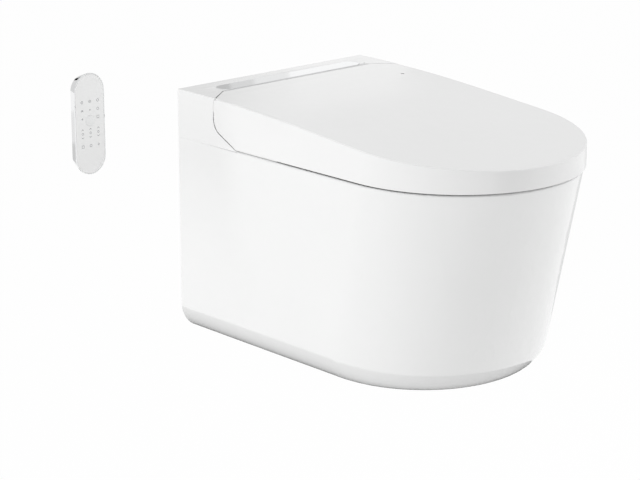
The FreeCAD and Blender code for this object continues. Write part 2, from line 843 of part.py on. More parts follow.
def makeLidParts():
    """The flat inner panel, its pads, the bushes and the small dark lens in the top."""
    half = size(f"{halfWidth} - LidWall") - 0.2
    under = size(linerUnder)
    thick = size("LinerThick")
    front = -2 * size("RimReach")
    back = -size("LinerBack")
    wide = 2 * half
    flat = Part.makeBox(wide, back - front, thick, vector(-half, front, under))
    upright = Part.makeBox(wide, thick, 60, vector(-half, back - thick, under))
    outline = Part.Face(dOutline(half, size(lidCentre), 0, under - 1)).extrude(vector(0, 0, 80))
    panel = flat.fuse(upright).common(outline).common(underTop(size("LidSkin") + 0.2))
    pads = []
    padHeight = under - size(seatTop) - 0.1
    for x, y in seatPads():
        pads.append(Part.makeCylinder(6, padHeight, vector(x, y, under - padHeight)))
    shaped("lid_panel", solidOf(panel))
    shaped("lid_pads", Part.makeCompound(pads))
    shaped("lid_bushes", bushRings(size(lidKnuckle)))
    top = topAt(-size("LensReach"))
    lens = Part.makeCylinder(
        size("LensRadius"), size("LidSkin"),
        vector(size("LensSide"), -size("LensReach"), top - size("LidSkin") - 0.1),
    )
    shaped("lid_lens", lens)


def bushRings(start):
    """A plain bush in each of two mirrored knuckles."""
    rings = []
    for x0, x1 in spans(start, size("KnuckleWidth")):
        ring = hingeRod(x0, x1, size(bushRadius)).cut(hingeRod(x0 - 1, x1 + 1, size("PinRadius + PinPlay")))
        rings.append(ring)
    return Part.makeCompound(rings)


# ---------------------------------------------------------------- seat

def seatPads():
    """Where the pads of the seat and of the lid stand."""
    side = size(f"{seatHalf} - 17")
    nose = size("BowlWidth") * 0.277
    return [
        (side, -size("SeatBack") - 60), (-side, -size("SeatBack") - 60),
        (nose, -size("RimReach") + 49), (-nose, -size("RimReach") + 49),
    ]


def seatRing(inset, low, high, back):
    """The ring between the seat's outer D and its hole, both inset by the same amount."""
    outline = Part.Face(dOutline(size(seatHalf) - inset, size(seatCentre), back, low))
    hole = Part.Face(ovalWire(
        size("SeatHoleHalf") + inset, -size("SeatHoleBack") + inset, -size(seatHoleFront) - inset, low - 1,
    ))
    rise = high - low
    return outline.extrude(vector(0, 0, rise)).cut(hole.extrude(vector(0, 0, rise + 2)))


def seatArms(grow):
    """The two arms that carry the seat back and up to the hinge, as thin walls grown by play."""
    arms = []
    y = size(hingeY)
    z = size(hingeZ)
    radius = size("KnuckleRadius")
    front = -size("SeatBack") - 14
    outline = [
        vector(0, y, z + radius), vector(0, y - 6, z + radius - 0.6),
        vector(0, front - grow, size(seatTop) + grow), vector(0, front - grow, size(seatUnder)),
        vector(0, -size("SeatBack"), size(seatUnder)),
        vector(0, -size("SeatBack"), size(lowDeck) + 1.2),
        vector(0, -size("SeatBack") + 6, size(lowDeck) + 1.2),
        vector(0, y, z - radius),
    ]
    for x0, x1 in spans(size(seatKnuckle), size("KnuckleWidth")):
        face = Part.Face(Part.makePolygon(outline + outline[:1]))
        face.translate(vector(x0 - grow, 0, 0))
        arms.append(face.extrude(vector(x1 - x0 + 2 * grow, 0, 0)))
    return arms


def makeSeat():
    """A hollow upper shell with the heating foil under its top, closed by the base that has the arms."""
    low = size(seatUnder)
    split = low + size("SeatBaseThick")
    high = size(seatTop)
    back = -size("SeatBack")
    shell = seatRing(0, split, high, back)
    roundEdges = [edge for edge in shell.Edges if edge.BoundBox.ZMin > high - 0.01]
    shell = shell.makeFillet(size("SeatEdgeRound"), roundEdges)
    wall = size("SeatWall")
    shell = shell.cut(seatRing(wall, split - 1, high - wall, back - 17))
    shell = shell.cut(seatArms(0.3))
    shaped("seat_shell", solidOf(shell))

    foilTop = high - wall
    shaped("seat_heater", seatRing(wall + 1, foilTop - size("HeaterThick"), foilTop, back - 18))

    base = seatRing(0, low, split, back)
    width = size("KnuckleWidth")
    start = size(seatKnuckle)
    knuckles = [hingeRod(x0, x1, size("KnuckleRadius")) for x0, x1 in spans(start, width)]
    base = base.fuse(seatArms(0) + knuckles)
    base = base.cut([hingeRod(x0 - 1, x1 + 1, size(bushRadius)) for x0, x1 in spans(start, width)])
    shaped("seat_base", solidOf(base))
    shaped("seat_bushes", bushRings(start))

    pads = [
        Part.makeCylinder(7, size("BumperHeight") - 0.1, vector(x, y, size(rim) + 0.1))
        for x, y in seatPads()
    ]
    shaped("seat_pads", Part.makeCompound(pads))


# ---------------------------------------------------------------- rear housing

def troughProfile(shift):
    """The section of the rear housing: wall block, round trough for the lid's edge, low deck."""
    y = size(hingeY)
    z = size(hingeZ)
    radius = size(troughRadius) + shift
    top = size(deckTop) + 5 if shift == 0 else size(deckTop) - size("RoofThick")
    low = size(rim) - 5 if shift else size(f"{rim} + HousingJoint")
    back = -shift
    above = min(top - z, radius * 0.9)
    start = vector(0, y + math.sqrt(radius ** 2 - above ** 2), z + above)
    middle = vector(0, y + radius * math.sin(math.pi / 4), z - radius * math.cos(math.pi / 4))
    end = vector(0, y, z - radius)
    front = -size("CoverFront") + 1 + shift
    corners = [end, vector(0, front, end.z), vector(0, front, low), vector(0, back, low)]
    corners += [vector(0, back, top), vector(0, start.y, top)]
    if top > start.z + 0.01:
        corners.append(start)
    edges = [Part.Arc(start, middle, end).toShape()]
    edges += [Part.makeLine(a, b) for a, b in zip(corners, corners[1:])]
    return Part.Face(Part.Wire(edges))


def stripOutline(grow, z):
    """The long rounded outline of the trim strip, seen from above."""
    half = size("StripHalf") + grow
    front = -size("LidBackMiddle") + size("StripGap") - grow
    back = front + size("StripDepth") + 2 * grow
    radius = (back - front) / 2
    middle = (front + back) / 2
    right = Part.Arc(
        vector(half - radius, front, z), vector(half, middle, z), vector(half - radius, back, z),
    ).toShape()
    left = Part.Arc(
        vector(radius - half, back, z), vector(-half, middle, z), vector(radius - half, front, z),
    ).toShape()
    ends = [
        Part.makeLine(vector(half - radius, back, z), vector(radius - half, back, z)),
        Part.makeLine(vector(radius - half, front, z), vector(half - radius, front, z)),
    ]
    return Part.Wire([right, ends[0], left, ends[1]])


def makeHousing():
    """The rear cover: flush cheeks behind the seam, a roof with a seat for the strip, and the trough."""
    half = size(halfWidth)
    centreHalf = size(shellHalf)
    low = size(f"{rim} + HousingJoint")
    room = Part.makeBox(2 * half, 300, 200, vector(-half, -300, low))
    cheeks = behindSeam(size("SeamGap"), -half, half).common(room).common(underTop(0))
    swept = hingeRod(-half - 1, half + 1, cornerRadius() + size("CornerGap"))
    cheeks = cheeks.cut(swept)
    middle = Part.makeBox(2 * centreHalf, 400, 400, vector(-centreHalf, -390, low - 50))
    cheeks = cheeks.cut(middle)

    section = troughProfile(0)
    section.translate(vector(-centreHalf, 0, 0))
    centre = section.extrude(vector(2 * centreHalf, 0, 0)).common(underTop(0))
    corners = []
    for side in (-1, 1):
        top = size(deckTop)
        plate = behindDiagonal(size("SeamGap") + 0.6, side, top - size("HousingWall") - 1, top + 5)
        inside = Part.makeBox(2 * half, 300, 200, vector(-half, -300, top - size("HousingWall") - 1))
        corners.append(plate.common(inside).common(underTop(0)).cut(swept))
    cover = centre.fuse([cheeks] + corners)
    wall = size("HousingWall")
    hollow = troughProfile(wall)
    hollow.translate(vector(wall - centreHalf, 0, 0))
    cover = cover.cut(hollow.extrude(vector(2 * (centreHalf - wall), 0, 0)))

    seatFloor = size(deckTop) - size("StripThick") + size("StripProud") - 0.1
    stripSeat = Part.Face(stripOutline(0.25, seatFloor)).extrude(vector(0, 0, 20))
    insideHalf = size(f"{coverHalf} - CoverWall") - 1.5
    moduleWindow = Part.makeBox(
        2 * insideHalf, size("CoverFront - CoverBack"), 60,
        vector(-insideHalf, -size("CoverFront") - size("CoverWall") - 1.5, low - 20),
    )
    inletWindow = Part.makeBox(
        2 * size("WindowHalf"), 30, 2 * size("WindowHalf"),
        vector(size(f"{inletSide} - WindowHalf"), -15, size(f"{supplyZ} - WindowHalf")),
    )
    glandHole = Part.makeCylinder(
        size("GlandRadius") + 0.1, 30, vector(-size(inletSide), -15, size(supplyZ)), yAxis,
    )
    lampHole = Part.makeCylinder(
        size("LampRadius") + 0.15, 40, vector(size("LampSide"), -size("LampReach"), size(deckTop) - 20),
    )
    cover = cover.cut([stripSeat, moduleWindow, inletWindow, glandHole, lampHole])
    shaped("rear_housing", solidOf(cover))

    strip = Part.Face(stripOutline(0, seatFloor + 0.1)).extrude(vector(0, 0, 20))
    strip = strip.common(underTop(-size("StripProud")))
    upper = [edge for edge in strip.Edges if edge.BoundBox.ZMin > seatFloor + 2]
    strip = strip.makeFillet(size("StripRound"), upper)
    shaped("trim_strip", solidOf(strip))
    lamp = Part.makeCylinder(
        size("LampRadius"), size("RoofThick"),
        vector(size("LampSide"), -size("LampReach"), topAt(-size("LampReach")) - size("RoofThick") - 0.05),
    )
    shaped("status_lamp", lamp)


# ---------------------------------------------------------------- base and hinge posts

def makeBase():
    """The plate that the module stands on, as one padded sketch with its windows cut out."""
    body = newBody("base_plate")
    half = f"({shellHalf} - HousingWall - 0.3)"
    back = "-HousingWall - 0.3"
    front = "-CoverFront + HousingWall + 1.3"
    plan = sketchOn(body, "XY_Plane", rim)
    polygon(plan, [(f"-{half}", back), (half, back), (half, front), (f"-{half}", front)])
    padOf(body, plan, "PlateThick")
    windows = sketchOn(body, "XY_Plane", rim)
    polygon(windows, [
        (f"-{pocketHalf}", "-PocketBack"), (pocketHalf, "-PocketBack"),
        (pocketHalf, "-CoverFront - 10"), (f"-{pocketHalf}", "-CoverFront - 10"),
    ])
    pocketOf(body, windows, "PlateThick", reverse=True)
    slot = sketchOn(body, "XY_Plane", rim)
    polygon(slot, [
        ("-SlotHalf", "-SlotBack"), ("SlotHalf", "-SlotBack"),
        ("SlotHalf", "-PocketBack - 1"), ("-SlotHalf", "-PocketBack - 1"),
    ])
    pocketOf(body, slot, "PlateThick", reverse=True)
    for side in (-1, 1):
        hole = sketchOn(body, "XY_Plane", rim)
        circle(hole, f"{side} * BaseBoltSpacing / 2", "-BaseBoltReach", "BaseBoltRadius + 0.2")
        pocketOf(body, hole, "PlateThick", reverse=True)


def makeBaseBolts():
    """Two bolts through the plate into sleeves in the ceramic deck."""
    bolts = []
    sleeves = []
    for side in (-1, 1):
        x = f"{side} * BaseBoltSpacing / 2"
        y = "-BaseBoltReach"
        shank = rod("z", x, y, f"{rim} - 22", "BaseBoltRadius", "22 + PlateThick + 1")
        head = rod("z", x, y, plateTop, "BaseBoltRadius * 1.7", "4")
        bolts.append(join([shank, head]))
        outside = rod("z", x, y, f"{rim} - DeckThick - 8", "BaseBoltRadius + 2.8", "DeckThick + 8 - 0.2")
        bore = rod("z", x, y, f"{rim} - 60", "BaseBoltRadius + 0.1", "80")
        sleeves.append(carve(outside, [bore]))
    keep(gather(bolts), "base_bolts")
    keep(gather(sleeves), "base_sleeves")


def makePosts():
    """Two posts on the low deck that hold the hinge pins."""
    y = size(hingeY)
    z = size(hingeZ)
    low = size(lowDeck)
    radius = size("KnuckleRadius")
    outline = [
        vector(0, y - 0.5, low), vector(0, y - 0.5, z), vector(0, y - radius, z),
        vector(0, y - radius - 5, low + 16), vector(0, y - radius - 15, low + 4),
        vector(0, y - radius - 15, low),
    ]
    posts = []
    pins = []
    for x0, x1 in spans(size(postInner), size("PostWidth")):
        face = Part.Face(Part.makePolygon(outline + outline[:1]))
        face.translate(vector(x0, 0, 0))
        post = face.extrude(vector(x1 - x0, 0, 0)).fuse(hingeRod(x0, x1, radius))
        posts.append(post.cut(hingeRod(x0 - 1, x1 + 1, size("PinRadius") + 0.02)))
    end = size(f"{lidKnuckle} + KnuckleWidth")
    start = size(postInner) + 2
    for x0, x1 in spans(start, end - start):
        pins.append(hingeRod(x0, x1, size("PinRadius")))
    shaped("hinge_posts", Part.makeCompound(posts))
    shaped("hinge_pins", Part.makeCompound(pins))


# ---------------------------------------------------------------- module under the lid

def makeCover():
    """The low cover over nozzles and fans: a padded block, rounded and hollowed from below."""
    body = newBody("module_cover")
    plan = sketchOn(body, "XY_Plane", lowDeck)
    polygon(plan, [
        (f"-{coverHalf}", "-CoverBack"), (coverHalf, "-CoverBack"),
        (coverHalf, "-CoverFront"), (f"-{coverHalf}", "-CoverFront"),
    ])
    padOf(body, plan, f"{coverTop} - {lowDeck}")
    filletOf(body, "CoverRound", lambda edge: runsAlong(edge, zAxis))
    filletOf(body, "CoverRound / 2", lambda edge: edge.BoundBox.ZMin > size(coverTop) - 0.01)
    insideHalf = f"({coverHalf} - CoverWall)"
    inside = sketchOn(body, "XY_Plane", lowDeck)
    polygon(inside, [
        (f"-{insideHalf}", "-CoverBack - CoverWall"), (insideHalf, "-CoverBack - CoverWall"),
        (insideHalf, "-CoverFront + CoverWall"), (f"-{insideHalf}", "-CoverFront + CoverWall"),
    ])
    pocketOf(body, inside, f"{coverTop} - {lowDeck} - CoverWall", reverse=True)


def wandFrame(x):
    """Where a wand lies: local Y runs back along it and local Z stands square to it."""
    place = vector(x, -size("PortReach"), size(f"{rim} - PortDrop"))
    return FreeCAD.Placement(place, FreeCAD.Rotation(xAxis, size("WandTilt")))


def toWand(shape, x):
    placed = shape.copy()
    placed.Placement = wandFrame(x).multiply(placed.Placement)
    return placed


pitchHeight = "(WandRadius + ToothModule * 0.1)"
pinionRadius = "(ToothModule * PinionTeeth / 2)"


def rackSpan():
    """Where the rack starts on a wand, and how many teeth it has."""
    pitch = math.pi * size("ToothModule")
    behind = size("PinionBehind")
    first = math.ceil((size("TipLength") + 8 - behind) / pitch)
    last = math.floor((size("WandLength") - 4 - behind) / pitch) - 1
    return behind + first * pitch, last - first + 1


def rackTeeth():
    """The rack on top of a wand: straight 20-degree flanks, a gap under the pinion's middle."""
    module = size("ToothModule")
    pitch = math.pi * module
    pitchAt = size(pitchHeight)
    lean = math.tan(math.radians(20))
    high = 0.8 * module
    deep = 1.1 * module
    thin = 0.08
    start, count = rackSpan()
    end = start + count * pitch
    base = pitchAt - deep - 1.4
    points = [vector(0, start, base)]
    for i in range(count):
        middle = start + (i + 0.5) * pitch
        points.append(vector(0, middle - pitch / 4 - deep * lean + thin, pitchAt - deep))
        points.append(vector(0, middle - pitch / 4 + high * lean + thin, pitchAt + high))
        points.append(vector(0, middle + pitch / 4 - high * lean - thin, pitchAt + high))
        points.append(vector(0, middle + pitch / 4 + deep * lean - thin, pitchAt - deep))
    points[1:1] = [vector(0, start, pitchAt - deep)]
    points.append(vector(0, end, pitchAt - deep))
    points.append(vector(0, end, base))
    width = size("RackWidth")
    face = Part.Face(Part.makePolygon(points + points[:1]))
    face.translate(vector(-width / 2, 0, 0))
    return face.extrude(vector(width, 0, 0))


def involutePinion():
    """A pinion with involute flanks, one tooth pointing straight down at the rack."""
    module = size("ToothModule")
    teeth = int(size("PinionTeeth"))
    pitchRadius = size(pinionRadius)
    baseRadius = pitchRadius * math.cos(math.radians(20))
    outer = pitchRadius + 0.8 * module
    root = pitchRadius - 1.15 * module
    pressure = math.tan(math.radians(20)) - math.radians(20)
    halfTooth = math.pi / (2 * teeth) + pressure - 0.08 / pitchRadius
    flank = []
    for step in range(4):
        radius = max(baseRadius, root) + (outer - max(baseRadius, root)) * step / 3
        roll = math.sqrt(max((radius / baseRadius) ** 2 - 1, 0))
        flank.append((radius, halfTooth - (roll - math.atan(roll))))
    points = []
    for tooth in range(teeth):
        middle = -math.pi / 2 + 2 * math.pi * tooth / teeth
        gap = math.pi / teeth
        points.append((root, middle - gap + 0.25 * gap))
        points += [(radius, middle - angle) for radius, angle in flank]
        points += [(radius, middle + angle) for radius, angle in reversed(flank)]
        points.append((root, middle + gap - 0.25 * gap))
    width = size("RackWidth")
    corners = [vector(-width / 2, r * math.cos(a), r * math.sin(a)) for r, a in points]
    wheel = Part.Face(Part.makePolygon(corners + corners[:1])).extrude(vector(width, 0, 0))
    return wheel


def pinionPlace():
    return vector(0, size("PinionBehind"), size(f"{pitchHeight} + {pinionRadius}"))


def makeWands():
    """Two washing wands: a tube with a rack on top, and a domed head with its spray holes."""
    radius = size("WandRadius")
    tipLength = size("TipLength")
    length = size("WandLength")
    shaft = size("ShaftRadius")
    for name, side in (("rear", -1), ("front", 1)):
        x = side * size("WandSpread")
        tube = Part.makeCylinder(radius, length - tipLength, vector(0, tipLength, 0), yAxis)
        start, count = rackSpan()
        bed = Part.makeBox(
            size("RackWidth") + 1, count * math.pi * size("ToothModule"), radius,
            vector(-size("RackWidth") / 2 - 0.5, start, size(pitchHeight) - 1.1 * size("ToothModule")),
        )
        tube = tube.cut(bed).fuse(rackTeeth())
        tube = tube.cut(Part.makeCylinder(radius * 0.6, length, vector(0, tipLength - 1, 0), yAxis))
        shaped(f"{name}_wand", solidOf(toWand(tube, x)))

        head = Part.makeCylinder(radius, tipLength - radius, vector(0, radius, 0), yAxis)
        head = head.fuse(Part.makeSphere(radius, vector(0, radius, 0)))
        plug = Part.makeCylinder(radius * 0.6 - 0.05, 5, vector(0, tipLength - 0.01, 0), yAxis)
        holes = sprayHoles(name, radius)
        shaped(f"{name}_tip", solidOf(toWand(head.fuse(plug).cut(holes), x)))

        wheel = involutePinion()
        reach = size("RackWidth") / 2 + size("MotorGap") + 7
        axle = Part.makeCylinder(shaft, reach, vector(0, 0, 0), xAxis * side)
        pinion = wheel.fuse(axle)
        pinion.translate(pinionPlace())
        shaped(f"{name}_pinion", solidOf(toWand(pinion, x)))


def sprayHoles(name, radius):
    """Four holes in a diamond on one head, and three in a row on the other."""
    spots = [(-1.6, 6), (1.6, 6), (0, 4.2), (0, 7.8)] if name == "rear" else [(0, 5), (0, 7.4), (0, 9.8)]
    return [Part.makeCylinder(0.55, radius, vector(x, y, radius * 0.45)) for x, y in spots]


def makeCarrier():
    """The sloping guide that the wands slide in, on a flange that stands on the base plate."""
    spread = size("WandSpread")
    radius = size("WandRadius")
    play = size("WandPlay")
    back = size("WandLength") - 2
    front = size("PinionBehind") + size(pinionRadius) + 4
    wide = 2 * (spread + radius + 3)
    body = Part.makeBox(wide, back - front, 2 * radius + 5, vector(-wide / 2, front, -radius - 2.5))
    placed = toWand(body, 0)
    flangeWide = 2 * (size("FanSpread - ScrollRadius") - 0.5)
    plateZ = size(plateTop)
    backY = -size("CoverBack") - size("CoverWall") - 0.4
    flange = Part.makeBox(
        flangeWide, 74, 2.5, vector(-flangeWide / 2, backY - 74, plateZ),
    )
    guide = placed.fuse(flange)
    ways = []
    for side in (-1, 1):
        way = Part.makeCylinder(radius + play, 2 * back, vector(0, -back / 2, 0), yAxis)
        groove = Part.makeBox(
            size("RackWidth") + 2 * play, 2 * back, radius + 10,
            vector(-size("RackWidth") / 2 - play, -back / 2, 0),
        )
        ways += [toWand(way, side * spread), toWand(groove, side * spread)]
    motorRoom = Part.makeBox(
        4 * size(coverHalf), 100, 60,
        vector(-2 * size(coverHalf), -size("PocketBack") - 100 + 4, plateZ - 30),
    )
    lowPart = Part.makeBox(200, 200, 60, vector(-100, -300, size(rim) - size("PocketDepth") - 59.7))
    guide = guide.cut(ways + [motorRoom, lowPart])
    shaped("nozzle_guide", solidOf(guide))


def makeMotors():
    """Stepper motors beside the wands, each on a bracket that stands on the base plate."""
    motors = []
    spread = size("WandSpread")
    gap = size("RackWidth") / 2 + size("MotorGap")
    for side in (-1, 1):
        start = side * gap
        can = Part.makeCylinder(
            size("MotorRadius"), size("MotorLength"), vector(start, 0, 0), xAxis * side,
        )
        can.translate(pinionPlace())
        bore = Part.makeCylinder(
            size("ShaftRadius") + 0.06, 8, vector(start - side, 0, 0), xAxis * side,
        )
        bore.translate(pinionPlace())
        can = toWand(can.cut(bore), side * spread)
        box = can.BoundBox
        foot = Part.makeBox(
            size("MotorLength") - 4, box.YLength, box.Center.z - size(plateTop),
            vector(box.XMin + 2, box.YMin, size(plateTop)),
        )
        foot = foot.common(Part.makeBox(400, 400, 100, vector(-200, -size("PocketBack"), 0)))
        motors.append(solidOf(can.fuse(foot.cut(toWand(boreLike(start, side), side * spread)))))
    shaped("nozzle_motors", Part.makeCompound(motors))


def boreLike(start, side):
    """The room that the pinion's axle needs inside a motor."""
    room = Part.makeCylinder(size("ShaftRadius") + 0.06, 8, vector(start - side, 0, 0), xAxis * side)
    room.translate(pinionPlace())
    return room


# ---------------------------------------------------------------- fans and air ducts

def makeFan(prefix, side):
    """A radial fan lying flat: its scroll with a duct towards the room, and the bladed wheel."""
    x = side * size("FanSpread")
    y = -size("FanReach")
    low = size(plateTop) + size("FanFoot")
    high = low + size("ScrollHeight")
    radius = size("ScrollRadius")
    wall = size("ScrollWall")
    ductX = side * size("OutletSide")
    ductHalf = size("OutletHalf") + wall
    ductEnd = -size("CoverFront") + size("CoverWall") + 3
    scroll = Part.makeCylinder(radius, high - low, vector(x, y, low))
    duct = Part.makeBox(2 * ductHalf, y - ductEnd, high - low, vector(ductX - ductHalf, ductEnd, low))
    body = scroll.fuse(duct)
    inner = Part.makeCylinder(radius - wall, high - low - 2 * wall, vector(x, y, low + wall))
    ductIn = Part.makeBox(
        2 * size("OutletHalf"), y - ductEnd - wall, high - low - 2 * wall,
        vector(ductX - size("OutletHalf"), ductEnd + wall, low + wall),
    )
    eye = Part.makeCylinder(size("FanEye"), 2 * wall, vector(x, y, low - 0.5 * wall))
    drop = Part.makeBox(
        2 * size("OutletHalf"), size("ShaftDepth") - wall, 3 * wall,
        vector(ductX - size("OutletHalf"), ductEnd + wall, low - wall),
    )
    shaftHole = Part.makeCylinder(size("ShaftRadius") + 0.06, 20, vector(x, y, high - 10))
    body = body.cut([inner, ductIn, eye, drop, shaftHole])
    feet = []
    for turn in (30, 150, 270):
        angle = math.radians(turn)
        reach = radius - 2.5
        place = vector(x + reach * math.cos(angle), y + reach * math.sin(angle), size(plateTop))
        feet.append(Part.makeCylinder(2, size("FanFoot") + wall / 2, place))
    motor = Part.makeCylinder(size("FanMotorRadius"), size("FanMotorHeight"), vector(x, y, high))
    motor = motor.cut(Part.makeCylinder(size("ShaftRadius") + 0.06, 6, vector(x, y, high - 0.1)))
    body = body.fuse(feet)
    shaped(f"{prefix}_scroll", solidOf(body))
    shaped(f"{prefix}_motor", motor)
    shaped(f"{prefix}_wheel", fanWheel(x, y, low + wall + 1, high - wall - 1))


def fanWheel(x, y, low, high):
    """A disc with forward-curved blades round its rim, a closing ring and a stub shaft."""
    radius = size("FanRadius")
    count = int(size("FanBlades"))
    disc = Part.makeCylinder(radius, 1.2, vector(x, y, high - 1.2))
    hub = Part.makeCylinder(3.5, high - low, vector(x, y, low))
    ring = Part.makeCylinder(radius, 1, vector(x, y, low))
    ring = ring.cut(Part.makeCylinder(radius - 3, 2, vector(x, y, low - 0.5)))
    shaft = Part.makeCylinder(size("ShaftRadius"), 6, vector(x, y, high - 0.5))
    blade = Part.makePolygon([
        vector(radius - 4.6, 0, low), vector(radius - 2.2, 0.9, low), vector(radius - 0.3, 2.6, low),
        vector(radius - 0.9, 3.2, low), vector(radius - 2.6, 1.9, low), vector(radius - 4.6, 1, low),
        vector(radius - 4.6, 0, low),
    ])
    blade = Part.Face(blade).extrude(vector(0, 0, high - low - 0.5))
    blades = []
    for i in range(count):
        turned = blade.copy()
        turned.rotate(vector(0, 0, 0), zAxis, 360 * i / count)
        turned.translate(vector(x, y, 0))
        blades.append(turned)
    return solidOf(disc.fuse([hub, ring, shaft] + blades))


def makeAirParts():
    """The heating fins in the dryer's duct and the carbon block in the odour duct."""
    low = size(plateTop) + size("FanFoot") + size("ScrollWall")
    high = low + size("ScrollHeight") - 2 * size("ScrollWall")
    half = size("OutletHalf") - 0.2
    front = -size("CoverFront") + size("CoverWall") + 3 + size("ShaftDepth") + 1
    back = front + 12
    x = size("OutletSide")
    frame = Part.makeBox(2 * half, back - front, high - low, vector(x - half, front, low))
    fins = int(size("HeaterFins"))
    pitch = (2 * half - 3) / fins
    gaps = [
        Part.makeBox(pitch - 0.8, 30, high - low - 4, vector(x - half + 1.9 + i * pitch, front - 5, low + 2))
        for i in range(fins)
    ]
    shaped("dryer_heater", frame.cut(gaps))
    carbon = Part.makeBox(2 * half, back - front, high - low, vector(-x - half, front, low))
    shaped("odour_filter", carbon)


def makeShroud():
    """The moulded front under the seat: two wand ports, the warm air outlet and the intake grille."""
    half = size(pocketHalf) - 2
    front = -size("PortReach")
    back = -size("PocketBack") - 15
    low = size(rim) - size("PocketDepth") + 0.3
    high = size(seatUnder) - 0.5
    body = Part.makeBox(2 * half, back - front, high - low, vector(-half, front, low))
    edges = [
        edge for edge in body.Edges
        if runsAlong(edge, zAxis) and edge.BoundBox.YMax < front + 0.1
    ]
    body = body.makeFillet(size("ShroudRound"), edges)
    lipCorner = vector(1 - half, -size("CoverFront") + 1, high - 0.1)
    lip = Part.makeBox(2 * half - 2, 3.5, size(lowDeck) - high, lipCorner)
    flangeFront = -size("CoverFront") + size("CoverWall") + 4
    flange = Part.makeBox(
        2 * half, -size("PocketBack") + 6 - flangeFront, size("FanFoot"),
        vector(-half, flangeFront, size(plateTop)),
    )
    motorRoom = Part.makeBox(68, 60, 80, vector(-34, -213, low - 5))
    body = body.fuse([lip, flange]).cut(motorRoom)
    tools = []
    play = size("WandPlay")
    for side in (-1, 1):
        x = side * size("WandSpread")
        way = Part.makeCylinder(size("WandRadius") + play, 80, vector(0, -20, 0), yAxis)
        groove = Part.makeBox(
            size("RackWidth") + 2 * play, 80, size("WandRadius") + 2 + play,
            vector(-size("RackWidth") / 2 - play, -20, 0),
        )
        tools += [toWand(way, x), toWand(groove, x)]
        ductX = side * size("OutletSide")
        ductFront = -size("CoverFront") + size("CoverWall") + 3
        tools.append(Part.makeBox(
            2 * size("OutletHalf") - 1, size("ShaftDepth") - 2, 40,
            vector(ductX - size("OutletHalf") + 0.5, ductFront + 1.5, size(outletLow)),
        ))
    duct = Part.makeBox(
        2 * size("OutletHalf") - 1, 40, size("OutletHigh"),
        vector(size("OutletSide - OutletHalf") + 0.5, front - 5, size(outletLow)),
    )
    tools.append(duct)
    slots = int(size("GrilleSlots"))
    pitch = (2 * size("OutletHalf") - 1) / slots
    for i in range(slots):
        tools.append(Part.makeBox(
            pitch * 0.5, 40, size("OutletHigh"),
            vector(-size("OutletSide + OutletHalf") + 0.5 + (i + 0.25) * pitch, front - 5, size(outletLow)),
        ))
    lampWay = Part.makeBox(18.4, 3, 4.4, vector(-9.2, front - 0.5, low + 2.3))
    tools.append(lampWay)
    body = body.cut(tools)
    ears = []
    for x0 in (size("OutletSide - FlapHalf") - 2.2, size("OutletSide + FlapHalf") + 0.2):
        ear = Part.makeBox(2, 7, 5, vector(x0, front - 4, size(flapZ) - 2.5))
        ears.append(ear)
    body = body.fuse(ears)
    pin = flapRod(size("OutletSide - FlapHalf") - 2.2, size("OutletSide + FlapHalf") + 2.2, 0.8)
    pinRoom = Part.makeBox(60, 20, 30, vector(20, front - 10, size(flapZ) - 10))
    body = body.cut(flapRod(0, 100, 0.82).common(pinRoom))
    shaped("nozzle_shroud", solidOf(body))
    shaped("flap_pin", pin)
    night = Part.makeBox(18, 2.4, 4, vector(-9, front, low + 2.5))
    shaped("night_light", night)


def flapRod(x0, x1, radius):
    place = vector(x0, -size("PortReach") - 2, size(flapZ))
    return Part.makeCylinder(radius, x1 - x0, place, xAxis)


def makeFlap():
    """The flap that hangs over the warm air outlet and is blown open."""
    half = size("FlapHalf")
    x = size("OutletSide")
    front = -size("PortReach")
    high = size(flapZ)
    low = size(outletLow) - 1.5
    plate = Part.makeBox(2 * half, 1.6, high - low, vector(x - half, front - 2.8, low))
    barrel = flapRod(x - half, x + half, 1.6)
    shaped("dryer_flap", solidOf(plate.fuse(barrel).cut(flapRod(x - half - 1, x + half + 1, 0.86))))


# ---------------------------------------------------------------- inside the wall block

